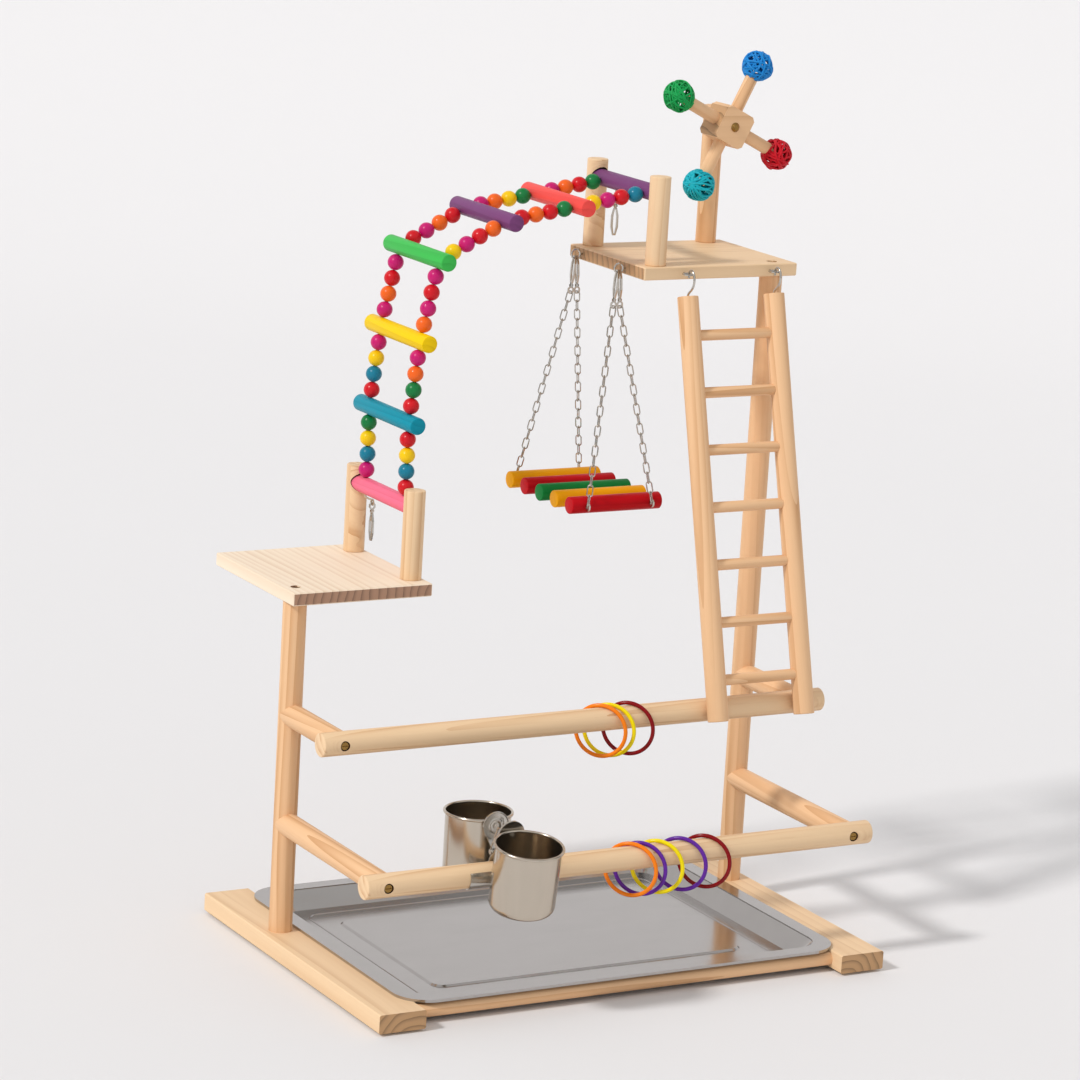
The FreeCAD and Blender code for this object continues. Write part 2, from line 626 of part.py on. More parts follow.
# short posts with a blind socket for the bridge's end rung
stubs = []
for level, sx, top in (("low", "low_stub_x", "low_board_z"), ("high", "high_stub_x", "high_board_z")):
    for place in ("front", "rear"):
        y = "stub_front_y" if place == "front" else "stub_front_y + bridge_width"
        start = "stub_front_y - rung_seat" if place == "front" else "stub_front_y + bridge_width - 2 * stub_radius - 1"
        stick = rod("stub_stick_%s_%s" % (level, place), "stub_radius", "stub_length", sx, y, top + " + board_thickness")
        stick = chamfered("stub_end_%s_%s" % (level, place), stick, V["perch_edge"], round_edge)
        depth = "2 * stub_radius + 1 + rung_seat"
        y0 = "stub_front_y + rung_seat - glue_gap" if place == "front" else "stub_front_y + bridge_width - rung_seat + glue_gap - (%s)" % depth
        socket = rod("stub_socket_%s_%s" % (level, place), "socket_radius", depth, sx, y0,
                     top + " + board_thickness + stub_length - socket_drop + socket_radius - rung_radius - glue_gap", ALONG_Y)
        stubs.append(cut("stub_%s_%s" % (level, place), stick, [socket]))
keep("bridge_posts", group("bridge_posts", stubs))

# ---------------------------------------------------------------- wire pieces: links, snap hooks, eyes


CORNERS = {
    6: [(1, 0), (0.5, 1), (-0.5, 1), (-1, 0), (-0.5, -1), (0.5, -1)],
    8: [(1, 0.41), (0.41, 1), (-0.41, 1), (-1, 0.41), (-1, -0.41), (-0.41, -1), (0.41, -1), (1, -0.41)],
}


def oval(half_length, half_width, wire, sides=6):
    """A closed oval link lying in the XZ plane, long way along Z, in flat facets."""
    outer = [(half_width * a, half_length * b) for a, b in CORNERS[sides]]
    inner = [((half_width - wire) * a, (half_length - wire) * b) for a, b in CORNERS[sides]]
    t = wire / 2
    faces = []
    for k in range(sides):
        n = (k + 1) % sides
        for y in (-t, t):
            faces.append([Vector(x, y, z) for x, z in (outer[k], outer[n], inner[n], inner[k])])
        for edge in (outer, inner):
            faces.append([Vector(edge[k][0], -t, edge[k][1]), Vector(edge[n][0], -t, edge[n][1]),
                          Vector(edge[n][0], t, edge[n][1]), Vector(edge[k][0], t, edge[k][1])])
    return solid_of(faces)


def ring_solid(radius, wire, sides, faces):
    """A round ring about Z in flat facets: so many round the ring, so many round its wire."""
    step = 2 * math.pi / faces
    return turned([(radius + wire * math.cos(k * step), wire * math.sin(k * step)) for k in range(faces)], sides)


def snap_hook(length, width, wire, ring):
    """A snap hook: its loop in the YZ plane bears at z = 0, a swivel with a ring hangs below."""
    half = (length - 2 * ring - 4) / 2
    loop = oval(half, width / 2, 2 * wire, 8)
    loop.Placement = Placement(Vector(0, 0, 2 * wire - half), Rotation(Z, 90))
    neck = 2 * wire - 2 * half
    shank = tube([Vector(0, 0, neck + 1), Vector(0, 0, neck - 4)], 1.5 * wire, 8, X)
    collar = tube([Vector(0, 0, neck - 1), Vector(0, 0, neck - 3)], 2.4 * wire, 8, X)
    eye = oval(ring, ring * 0.9, 1.6 * wire, 8)
    eye.Placement = Placement(Vector(0, 0, neck - 3.2 - ring), Rotation())
    return loop.fuse([shank, collar, eye])


def screw_eye():
    """A screw eye: its ring stands in front of a face at the origin, its shank goes in along +Z."""
    r = V["eye_radius"]
    w = V["eye_wire"]
    ring = tube(circle(Vector(0, 0, -V["eye_neck"] - r), r, Y, -Z, 12), w, 6, Y, True)
    shank = tube([Vector(0, 0, -V["eye_neck"]), Vector(0, 0, V["eye_thread"])], w, 6, X)
    return ring.fuse(shank)


def eye_at(x, y, z, into, spin):
    one = screw_eye()
    turn = Rotation(into, spin).multiply(Rotation(Z, into))
    one.Placement = Placement(spot(x, y, z), turn)
    return one


BOARD_MID = V["high_board_z"] + V["board_thickness"] / 2
SWING_Y = {"front": V["swing_front_y"], "rear": V["swing_rear_y"]}
LADDER_X = {"left": V["ladder_left"], "right": V["ladder_left"] + V["ladder_spread"]}
EYE_OUT = V["eye_neck"] + V["eye_radius"]
eyes = [eye_at(V["high_board_left"], y, BOARD_MID, X, 0) for y in SWING_Y.values()]
eyes += [eye_at(x, V["high_board_front"], BOARD_MID, Y, 0) for x in LADDER_X.values()]
shape_node("screw_eyes", Part.makeCompound(eyes))

# ---------------------------------------------------------------- swing

SWING_X = V["high_board_left"] - EYE_OUT
PIVOT_Z = BOARD_MID - V["eye_radius"]
CLIP_TOP = PIVOT_Z + V["eye_wire"] + V["clip_lift"]
SEAT_LEFT = SWING_X - V["seat_length"] / 2
SEAT_MID = (V["swing_front_y"] + V["swing_rear_y"]) / 2
ROD_Y = [SEAT_MID + (2 - k) * V["seat_pitch"] for k in range(5)]
WIRE_X = {"left": SEAT_LEFT + V["seat_inset"], "right": SEAT_LEFT + V["seat_length"] - V["seat_inset"]}
WIRE_EYE_Y = {"rear": ROD_Y[0] + V["seat_radius"] + V["wire_eye"] + 0.6, "front": ROD_Y[4] - V["seat_radius"] - V["wire_eye"] - 0.6}

EYE_TOP = V["wire_eye"] * 1.15
CHAIN_GAP = 0.3
clips = []
chains = []
for place, y in SWING_Y.items():
    for side, way in (("left", -1), ("right", 1)):
        clip = snap_hook(V["clip_length"], V["snap_width"], V["snap_wire"], V["snap_ring"])
        top = spot(SWING_X + way * V["clip_spread"], y, CLIP_TOP)
        lean = Rotation(Y, -way * V["clip_lean"])
        clip.Placement = Placement(top, lean)
        clips.append(clip)
        hang = top + lean.multVec(Vector(0, 0, -V["clip_length"] + 2 * V["snap_wire"] + 2.4 + CHAIN_GAP))
        foot = spot(WIRE_X[side], WIRE_EYE_Y[place], V["seat_z"] + EYE_TOP - 2 * V["wire_radius"] - CHAIN_GAP)
        line = foot - hang
        count = 2 * int(round(line.Length / V["link_length"] / 2))
        pitch = line.Length / count
        way_down = line.normalize()
        for k in range(count):
            link = oval(pitch / 2 + V["link_wire"] + CHAIN_GAP / 2, V["link_width"] / 2, V["link_wire"])
            turn = Rotation(X, Y, way_down, "ZXY").multiply(Rotation(Z, 90 * (k + 1)))
            link.Placement = Placement(hang + way_down * (pitch * (k + 0.5)), turn)
            chains.append(link)
shape_node("swing_hooks", Part.makeCompound(clips))
shape_node("swing_chains", Part.makeCompound(chains))

wires = []
wire_bores = []
for side, x in WIRE_X.items():
    a = spot(x, WIRE_EYE_Y["front"] + V["wire_eye"] * 0.7, V["seat_z"])
    b = spot(x, WIRE_EYE_Y["rear"] - V["wire_eye"] * 0.7, V["seat_z"])
    wire = tube([a, b], V["wire_radius"], 8, X)
    for y in WIRE_EYE_Y.values():
        eye = oval(EYE_TOP, V["wire_eye"], 2 * V["wire_radius"], 8)
        eye.Placement = Placement(spot(x, y, V["seat_z"]), Rotation(Z, 90))
        wire = wire.fuse(eye)
    wires.append(wire)
    wire_bores.append(Part.makeCylinder(V["wire_radius"] + V["run_gap"], (b - a).Length + 20, a - Y * 10, Y))
shape_node("swing_wires", Part.makeCompound(wires))

SEAT_COLOURS = ["amber", "red", "green", "amber", "red"]
seat_sets = {}
for y, colour in zip(ROD_Y, SEAT_COLOURS):
    stick = Part.makeCylinder(V["seat_radius"], V["seat_length"], spot(SEAT_LEFT, y, V["seat_z"]), X)
    stick = stick.makeChamfer(0.7, [e for e in stick.Edges if e.Curve.TypeId == "Part::GeomCircle"])
    seat_sets.setdefault(colour, []).append(stick.cut(wire_bores))
for colour, sticks in seat_sets.items():
    shape_node("swing_rods_" + colour, Part.makeCompound(sticks))

# ---------------------------------------------------------------- snap hooks at the bridge's ends

EYE_BEARING = V["snap_length"] - 2 * V["snap_wire"] - 0.8 - 1.6 * V["snap_wire"]
for level, (loop, tail, face) in zip(("lower", "upper"), TAILS):
    hook = snap_hook(V["snap_length"], V["snap_width"], V["snap_wire"], V["snap_ring"])
    bearing = loop - Z * (V["tail_loop"] - V["cord_radius"] - V["rest_gap"])
    turn = Rotation(Z, 0 if face == X else 90).multiply(Rotation(X, 180))
    shape_node("bridge_hook_" + level, hook, Placement(bearing - Z * EYE_BEARING, turn))
    print("bridge hook", level, "pivot", [round(c, 2) for c in loop - Z * V["tail_loop"]])

# ---------------------------------------------------------------- wheel

HUB_Y = "wheel_post_y - stub_radius - hub_gap - hub_back"
HUB_Z = "high_board_z + board_thickness + wheel_post_length - hub_drop"
hub_mid = spot(V["wheel_post_x"], V["wheel_post_y"] - V["stub_radius"] - V["hub_gap"] - V["hub_back"],
               V["high_board_z"] + V["board_thickness"] + V["wheel_post_length"] - V["hub_drop"])
HUB_FRONT = "wheel_post_y - stub_radius - hub_gap - hub_depth"
stick = rod("wheel_stick", "stub_radius", "wheel_post_length", "wheel_post_x", "wheel_post_y",
            "high_board_z + board_thickness")
stick = chamfered("wheel_stick_end", stick, V["perch_edge"], round_edge)
axle_bore = rod("axle_bore_post", "axle_radius + glue_gap", "axle_seat + 1", "wheel_post_x",
                "wheel_post_y - stub_radius - 1", HUB_Z, ALONG_Y)
keep("wheel_post", cut("wheel_post", stick, [axle_bore]))

axle = rod("axle_shank", "axle_radius", "hub_depth + hub_gap + axle_seat - glue_gap", "wheel_post_x", HUB_FRONT, HUB_Z, ALONG_Y)
axle_head = cone("axle_head", "axle_head_radius * 0.55", "axle_head_radius", "axle_head", "wheel_post_x",
                 HUB_FRONT + " - axle_head - rest_gap", HUB_Z, ALONG_Y)
axle_neck = rod("axle_neck", "axle_radius", "rest_gap + 0.2", "wheel_post_x", HUB_FRONT + " - rest_gap - 0.1", HUB_Z, ALONG_Y)
screw_solids.append(fuse("screw_axle", [axle, axle_head, axle_neck]))
keep("screws", group("screws", screw_solids))

turn_hub = Rotation(Y, -V["hub_turn"])


def spoke_way(k):
    a = math.radians(90 * k + 90 - V["hub_turn"])
    return Vector(math.cos(a), 0, math.sin(a))


def hub_shape():
    s = V["hub_size"]
    deep = V["hub_depth"]
    cube = Part.makeBox(s, deep, s, Vector(-s / 2, V["hub_back"] - deep, -s / 2))
    cube = cube.makeChamfer(V["hub_chamfer"], [e for e in cube.Edges if runs_along(e, Y)])
    for k in range(4):
        way = Vector(math.cos(math.pi / 2 * k), 0, math.sin(math.pi / 2 * k))
        cube = cube.cut(Part.makeCylinder(V["spoke_radius"] + V["glue_gap"], s, way * (s / 2 - V["spoke_seat"]), way))
    return cube.cut(Part.makeCylinder(V["axle_radius"] + V["run_gap"], 2 * s, Vector(0, -s, 0), Y))


shape_node("wheel_hub", hub_shape(), Placement(hub_mid, Rotation(Y, V["hub_turn"])))

spokes = []
SPOKE_START = "(hub_size / 2 - spoke_seat + glue_gap)"
SPOKE_END = "(ball_reach - ball_radius + ball_seat)"
for k in range(4):
    way = spoke_way(k)
    spokes.append(rod("wheel_spoke_%d" % k, "spoke_radius", "%s - %s" % (SPOKE_END, SPOKE_START),
                      "wheel_post_x + %s * %.9f" % (SPOKE_START, way.x), HUB_Y,
                      "%s + %s * %.9f" % (HUB_Z, SPOKE_START, way.z), Rotation(Z, way)))
keep("wheel_spokes", group("wheel_spokes", spokes))


def open_ball():
    """An open ball of flat hoops, with a socket for the spoke on its -Z side."""
    r = V["ball_radius"]
    w = V["ball_strand"]
    seat = turned([(V["spoke_radius"] + V["glue_gap"] + 0.3, -r), (V["spoke_radius"] + 2, -r + 1.5),
                   (V["spoke_radius"] + 2, -r + V["ball_seat"]), (V["spoke_radius"] + V["glue_gap"] + 0.3, -r + V["ball_seat"])], 12)
    ball = seat
    for tilt, spin in ((90, 0), (90, 60), (90, 120), (22, 40)):
        band = turned([(r - 2 * w, -w), (r, -w), (r, w), (r - 2 * w, w)], 16)
        band.Placement = Placement(Vector(), Rotation(Z, spin).multiply(Rotation(X, tilt)))
        ball = ball.fuse(band)
    clear = V["spoke_radius"] + V["glue_gap"] + 0.25
    return ball.cut(turned([(0.0, -r - 4), (clear, -r - 4), (clear, -r + V["ball_seat"]), (0.0, -r + V["ball_seat"])], 12))


for k, colour in enumerate(["blue", "green", "cyan", "red"]):
    way = spoke_way(k)
    shape_node("ball_" + colour, open_ball(), Placement(hub_mid + way * V["ball_reach"], Rotation(Z, way)))

# ---------------------------------------------------------------- ladder

top_y = V["ladder_top_y"]
top_z = V["ladder_top_z"]
reach_y = top_y - V["high_perch_y"]
reach_z = top_z - V["high_perch_z"]
stand_off = V["dowel_radius"] + V["stile_radius"] + V["rest_gap"]
stile_length = math.sqrt(reach_y ** 2 + reach_z ** 2 - stand_off ** 2) + V["stile_past"]
tilt = math.atan2(reach_y, reach_z) + math.asin(stand_off / math.hypot(reach_y, reach_z))
down = Vector(0, -math.sin(tilt), -math.cos(tilt))
stile_turn = Rotation(Z, down)
STEP_X = "ladder_left + stile_radius - step_seat"
STEP_SPAN = "ladder_spread - 2 * stile_radius + 2 * step_seat"
step_x = V["ladder_left"] + V["stile_radius"] - V["step_seat"]
step_span = V["ladder_spread"] - 2 * V["stile_radius"] + 2 * V["step_seat"]
steps = []
step_bores = []
for k in range(7):
    along = V["step_first"] + k * V["step_pitch"]
    start = spot(step_x, top_y, top_z) + down * along
    steps.append(rod("ladder_step_%d" % k, "step_radius", STEP_SPAN + " - 2 * glue_gap", STEP_X + " + glue_gap",
                     "ladder_top_y + %.9f * (step_first + %d * step_pitch)" % (down.y, k),
                     "ladder_top_z + %.9f * (step_first + %d * step_pitch)" % (down.z, k), ALONG_X))
    step_bores.append(Part.makeCylinder(V["step_radius"] + V["glue_gap"], step_span, start, X))

stiles = []
hooks = []
w = V["hook_wire"]
crest = V["eye_wire"] + w + V["rest_gap"] / 2
for x in LADDER_X.values():
    top = spot(x, top_y, top_z)
    pivot = spot(x, V["high_board_front"] - V["eye_neck"] - 2 * V["eye_radius"], BOARD_MID)
    over = [pivot + Y * (crest * math.cos(math.radians(a))) + Z * (crest * math.sin(math.radians(a)))
            for a in (0, 45, 90, 135, 180)]
    tip = over[-1] - Z * 2.4
    hooks.append(tube([top + down * V["hook_seat"], top - down * 4, over[0] - Z * 4] + over + [tip], w, 6, X))
    stile = Part.makeCylinder(V["stile_radius"], stile_length, top, down)
    stile = stile.makeChamfer(V["perch_edge"], [e for e in stile.Edges if e.Curve.TypeId == "Part::GeomCircle"])
    bore = Part.makeCylinder(w + V["glue_gap"], V["hook_seat"] + 2, top - down * 2, down)
    stiles.append(stile.cut(step_bores + [bore]))
shape_node("ladder_stiles", Part.makeCompound(stiles))
keep("ladder_rungs", group("ladder_rungs", steps))
shape_node("ladder_hooks", Part.makeCompound(hooks))

# ---------------------------------------------------------------- rings on the perches

RINGS = [
    ("ring_upper_orange", "high_ring_a", "high"), ("ring_upper_yellow", "high_ring_b", "high"),
    ("ring_upper_red", "high_ring_c", "high"), ("ring_lower_orange", "low_ring_a", "low"),
    ("ring_lower_purple_a", "low_ring_b", "low"), ("ring_lower_yellow", "low_ring_c", "low"),
    ("ring_lower_purple_b", "low_ring_d", "low"), ("ring_lower_red", "low_ring_e", "low"),
]
yaw = math.radians(V["ring_yaw"])
for name, at, level in RINGS:
    middle = spot(V[at], V[level + "_perch_y"], V[level + "_perch_z"] - V["ring_drop"])
    shape_node(name, ring_solid(V["ring_radius"], V["ring_wire"], 24, 6),
               Placement(middle, Rotation(Z, Vector(math.cos(yaw), math.sin(yaw), 0))))

# ---------------------------------------------------------------- cups on a double clip over the lower perch

AXIS = spot(V["clip_x"], V["low_perch_y"], V["low_perch_z"])
PIN = AXIS + Z * V["pin_rise"]


def cup_shape():
    """A drawn cup: straight wall, rounded foot, rolled rim; its rim lies at z = 0."""
    r = V["cup_radius"]
    h = V["cup_height"]
    t = V["cup_wall"]
    b = V["cup_bead"]
    f = V["cup_foot_radius"]
    turns = [math.radians(a) for a in (90, 60, 30, 0)]
    outer = [(r - f + f * math.cos(a), -h + f - f * math.sin(a)) for a in turns]
    inner = [(r - f + (f - t) * math.cos(a), -h + f - (f - t) * math.sin(a)) for a in reversed(turns)]
    roll = [(r, -2 * b), (r + b, -1.6 * b), (r + 1.4 * b, -0.8 * b), (r + b, 0), (r - t, 0)]
    shell = turned(outer + roll + inner, 36)
    floor = Part.makePolygon([Vector((r - f) * math.cos(a), (r - f) * math.sin(a), -h)
                              for a in [2 * math.pi * k / 36 for k in range(37)]])
    return shell.fuse(Part.Face(floor).extrude(Z * t)).removeSplitter()


def side_frame(front):
    """Where one half of the clip stands: its lean about X and which way is outward."""
    out = -1 if front else 1
    lean = V["front_tilt"] if front else 0.0
    return out, lean


cup = cup_shape()
half_jaw = V["jaw_length"] / 2
bar_in = V["dowel_radius"] + V["rest_gap"]
bar_out = bar_in + V["jaw_sheet"]


def sector(radius, start, end, out):
    """Points on an arc about the perch, angles from level outward, up positive."""
    return [Vector(0, out * radius * math.cos(math.radians(a)), radius * math.sin(math.radians(a)))
            for a in (start, (start + end) / 2, end)]


def jaw_shape(out):
    """A half-round jaw that wraps the perch on one side."""
    a = sector(bar_in, V["jaw_top"], -V["jaw_bottom"], out)
    b = sector(bar_out, V["jaw_top"], -V["jaw_bottom"], out)
    wire = Part.Wire([Part.Arc(*a).toShape(), Part.LineSegment(a[2], b[2]).toShape(),
                      Part.Arc(b[2], b[1], b[0]).toShape(), Part.LineSegment(b[0], a[0]).toShape()])
    return Part.Face(wire).extrude(X * V["jaw_length"]).translated(AXIS - X * half_jaw)


def clip_half(front):
    """One lever of the clip: jaw, strap past the pin, thumb disc, with the disc riveted to a cup."""
    out, lean = side_frame(front)
    s = V["jaw_sheet"]
    wide = V["lever_width"]
    edge = AXIS + sector(bar_out - s / 2, V["jaw_top"], V["jaw_top"] - 1, out)[0]
    tilt_turn = Rotation(X, lean if front else 0)
    wall = V["disc_sheet"] + 0.15
    disc_out = V["disc_out_front"] if front else V["disc_out_rear"]
    disc_mid = AXIS + Vector(0, out * disc_out, V["disc_rise"])
    face = tilt_turn.multVec(Vector(0, out, 0))
    up = tilt_turn.multVec(Z)
    disc_foot = disc_mid - up * (V["disc_radius"] - 2.0)
    near_pin = PIN + Vector(0, out * (V["knuckle"] + 0.6), 0)
    route = [edge, near_pin - Z * 3.0, near_pin + Z * 1.5, disc_foot, disc_mid]
    solid = jaw_shape(out)
    for a, b in zip(route, route[1:]):
        way = (b - a).normalize()
        turn = Rotation(X, way.cross(X) * -1, way, "ZXY")
        strap = Part.makeBox(wide, s, (b - a).Length + s * 0.8, Vector(-wide / 2, -s / 2, -s * 0.4))
        strap.Placement = Placement(a, turn)
        solid = solid.fuse(strap)
    disc = turned([(0.0, -s / 2), (3.2, -s / 2), (5.2, -s), (6.4, -s), (7.4, -s / 2), (V["disc_radius"] - 1.2, -s / 2),
                   (V["disc_radius"] - 0.4, -1.7 * s), (V["disc_radius"], -1.7 * s), (V["disc_radius"], s / 2),
                   (0.0, s / 2)], 24)
    disc.Placement = Placement(disc_mid, Rotation(Z, face))
    solid = solid.fuse(disc)
    ears = []
    ear_width = 3.6
    for x0 in ((-8.0, 4.4) if front else (-3.9, 0.3)):
        ear = Part.makeCylinder(V["knuckle"], ear_width, PIN + X * x0, X)
        bridge = Part.makeBox(ear_width, V["knuckle"] + 0.6, s, Vector(0, 0, -s / 2))
        if out < 0:
            bridge.translate(Vector(0, -V["knuckle"] - 0.6, 0))
        bridge.translate(PIN + X * x0)
        ears += [ear, bridge]
    solid = solid.fuse(ears).cut(Part.makeCylinder(V["pin_radius"] + V["run_gap"], 2 * wide, PIN - X * wide, X))
    stand_off = V["cup_bead"] * 1.4 + V["rest_gap"]
    back = disc_mid + face * (V["disc_sheet"] / 2 + stand_off)
    cup_centre = back + face * (V["cup_radius"] + 0.1)
    rim_point = cup_centre + up * (V["cup_rim_rise"] - V["disc_rise"])
    place = Placement(rim_point, tilt_turn)
    rivet = Part.makeCylinder(V["rivet_radius"] * 0.5, stand_off + 3.7, disc_mid - face * 0.9, face)
    rivet = rivet.fuse([Part.makeCylinder(V["rivet_radius"], 0.9, disc_mid - face * 1.4, face),
                        Part.makeCylinder(V["rivet_radius"] * 0.75, stand_off + 0.05, disc_mid + face * s * 0.4, face),
                        Part.makeCylinder(V["rivet_radius"], 0.9, back + face * (V["cup_wall"] + 0.4), face)])
    hole = Part.makeCylinder(V["rivet_radius"] * 0.5 + 0.02, 8, disc_mid - face * 3, face)
    vessel = cup.copy()
    vessel.Placement = place
    lever = solid.cut(hole).fuse(rivet)
    if not front:
        pin = Part.makeCylinder(V["pin_radius"], V["pin_length"], PIN - X * V["pin_length"] / 2, X)
        heads = [Part.makeCylinder(V["pin_radius"] + 0.9, 0.8, PIN + X * c, X)
                 for c in (-V["pin_length"] / 2 - 0.8, V["pin_length"] / 2)]
        lever = Part.makeCompound([lever, pin.fuse(heads)])
    return lever, vessel.cut(hole), place


for front, name in ((True, "front"), (False, "rear")):
    lever, vessel, place = clip_half(front)
    shape_node("lever_" + name, lever)
    shape_node("cup_" + name, vessel)
    print("cup", name, "rim centre", [round(c, 2) for c in place.Base + Vector(V["centre_x"], V["centre_y"], 0)])

wrap = (V["pin_radius"] + V["spring_wire"] + V["rest_gap"]) / 0.74
for name, x0, out, disc_out in (("front", -9.4, -1, V["disc_out_front"]), ("rear", 9.4, 1, V["disc_out_rear"])):
    far = disc_out - V["disc_sheet"] * 1.7 - V["spring_wire"] - V["rest_gap"] - 0.6
    rise = V["disc_rise"] - V["pin_rise"]
    low = [(0, -wrap), (-out * wrap * 0.9, -wrap * 0.4), (-out * wrap * 0.8, wrap * 0.7)]
    high = [(out * (far - 5), rise + 5), (out * (far - 1.5), rise + 4.5), (out * far, rise + 1.5),
            (out * (far - 0.6), rise - 1.8), (out * wrap * 1.1, 0)]
    loop = [PIN + X * x0 + Y * b + Z * c for b, c in low + high]
    shape_node("clip_spring_" + name, tube(loop, V["spring_wire"], 6, X, True))

# ---------------------------------------------------------------- check and write

doc.recompute()
bad = [o.Name for o in doc.Objects if "Invalid" in o.State or "Error" in o.State]
if bad:
    raise RuntimeError("failed objects: %s" % bad)
os.makedirs("parts", exist_ok=True)
total = None
for name, obj in nodes:
    shape = obj.Shape
    if shape.isNull() or not shape.isValid() or not shape.Solids:
        raise RuntimeError("bad shape: " + name)
    if any(s.Volume <= 0 for s in shape.Solids):
        raise RuntimeError("inside out: " + name)
    total = shape.BoundBox if total is None else total.united(shape.BoundBox)
    shape.exportStep("parts/%s.step" % name)
print("nodes", len(nodes))
print("box x %.2f..%.2f y %.2f..%.2f z %.2f..%.2f" % (total.XMin, total.XMax, total.YMin, total.YMax, total.ZMin, total.ZMax))
print("ladder tilt %.2f degrees, swing pivot x %.2f z %.2f" % (math.degrees(tilt), SWING_X, BOARD_MID))
print("ladder pivot", [round(c, 2) for c in pivot])
print("bridge rungs", [(round(x, 1), round(z, 1)) for x, z in RUNGS])
print("hub", [round(c, 2) for c in hub_mid], "pin", [round(c, 2) for c in PIN])
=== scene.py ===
"""Looks of a parrot play stand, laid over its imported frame."""

import math
import random

import bmesh
import bpy
import numpy as np
from mathutils import Matrix, Vector


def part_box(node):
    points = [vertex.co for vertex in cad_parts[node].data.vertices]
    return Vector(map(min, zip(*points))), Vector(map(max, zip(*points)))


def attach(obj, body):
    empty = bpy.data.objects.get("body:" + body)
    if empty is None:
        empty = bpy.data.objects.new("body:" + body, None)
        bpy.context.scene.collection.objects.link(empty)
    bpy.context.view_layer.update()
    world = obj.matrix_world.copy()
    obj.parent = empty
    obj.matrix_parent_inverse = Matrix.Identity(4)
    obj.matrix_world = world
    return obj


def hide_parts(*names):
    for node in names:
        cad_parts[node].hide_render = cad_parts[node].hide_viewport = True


bl_info = {
    "name": "Parrot play stand",
    "version": (1, 0, 0),
    "blender": (4, 5, 0),
    "location": "3D View > Sidebar > Play stand",
    "description": "Dresses the frame of a wooden play stand for parrots",
    "category": "Object",
}

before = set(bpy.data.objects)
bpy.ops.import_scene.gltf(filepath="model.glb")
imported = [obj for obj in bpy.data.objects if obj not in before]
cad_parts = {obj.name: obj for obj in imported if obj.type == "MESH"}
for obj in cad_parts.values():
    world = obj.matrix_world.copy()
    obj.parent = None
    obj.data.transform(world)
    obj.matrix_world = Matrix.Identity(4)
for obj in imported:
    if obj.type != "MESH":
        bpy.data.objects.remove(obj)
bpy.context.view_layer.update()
MM = 0.001
X = Vector((1, 0, 0))
Y = Vector((0, 1, 0))
Z = Vector((0, 0, 1))
WELD = 2e-6  # corners nearer than this are one corner
SQUARE = 0.99  # a stick lies along an axis when the cosine between them is above this
LEVEL = 2e-4  # corners this near one another along an axis lie on one level
SHARP = math.radians(40)  # edges bent more than this stay sharp
STICK_SIDES = 64
BORE_SIDES = 40
END_GRAIN = 1.0  # mark of a stick's sawn end in the faces' "end" attribute
# Faces inside a bore get a painted shade: a dark brown in place of the wood.
BORE_SHADE = 2.0  # mark of the inside of a bore in the same attribute


def srgb(code):
    """Linear colour of a six-digit colour code."""
    parts = [int(code[i : i + 2], 16) / 255 for i in (0, 2, 4)]
    return tuple(((c + 0.055) / 1.055) ** 2.4 if c > 0.04045 else c / 12.92 for c in parts)


# ------------------------------------------------------------------ settings


def colour(name, description, code):
    """A colour setting with its default."""
    return bpy.props.FloatVectorProperty(
        name=name, description=description, subtype="COLOR", size=3, min=0, max=1, default=srgb(code)
    )


def length(name, description, mm):
    """A length setting with its default in millimetres."""
    return bpy.props.FloatProperty(name=name, description=description, default=mm * MM, unit="LENGTH", precision=5)


def strength(name, description, value):
    """A light's strength with its default."""
    return bpy.props.FloatProperty(name=name, description=description, default=value, min=0)


class StandFinish(bpy.types.PropertyGroup):
    """Colours of the wood, the paint and the metal."""

    pine_light: colour("Pine, light", "Early wood of the perches, feet and short posts", "F0D0A8")
    warm_light: colour("Pine, warm light", "Early wood of the posts, arms and ladder", "EFC498")
    warm_dark: colour("Pine, warm dark", "Late wood of the round sticks", "BE854F")
    pale_light: colour("Pine, pale", "Early wood of the low board", "FAE8D0")
    pine_dark: colour("Pine, dark", "Late wood of the boards and feet", "C59665")
    pine_end: colour("Pine, end", "End grain", "C39A70")
    end_dark: colour("End grain, brown", "The low board's sawn end", "B48D74")
    # Painted shade: the dark brown laid on the walls and floors of the screw recesses and rung sockets.
    recess_shade: colour("Recess", "Inside the screw recesses", "4A2814")
    steel: colour("Polished steel", "Cups", "CEC3B4")
    tray: colour("Tray steel", "Pressed tray", "B8B4B1")
    nickel: colour("Nickel", "Hooks, chains and eyes", "CDC8C0")
    cord: colour("Cord", "Bridge cords", "D9D0BC")


class StandSizes(bpy.types.PropertyGroup):
    """Small sizes that the frame leaves open."""

    dowel_round: length("Dowel edge", "Rounding of the ends of round sticks", 0.9)
    bead_hole: length("Bead hole", "Radius of the hole through a bead", 1.7)
    strand: length("Ball strand", "Half width of a strand in the woven balls", 1.05)
    tray_line: length("Tray line", "Radius of the pressed line round the tray's floor", 0.9)
    tray_inset: length("Tray line inset", "From the tray's rim to the pressed line", 44.6)


class StandLight(bpy.types.PropertyGroup):
    """Lamp and surroundings."""

    key: strength("Key lamp", "Strength of the main lamp", 1.72)
    sky: strength("Soft light", "Strength of the light from all round", 0.66)
    backdrop: colour("Backdrop", "Pale ground that the camera and the metal see", "E7E6E7")


# ------------------------------------------------------------------ shapes


def merged(node):
    """A CAD node's mesh with its loose triangles joined up."""
    bm = bmesh.new()
    bm.from_mesh(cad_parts[node].data)
    bmesh.ops.remove_doubles(bm, verts=bm.verts, dist=WELD)
    return bm


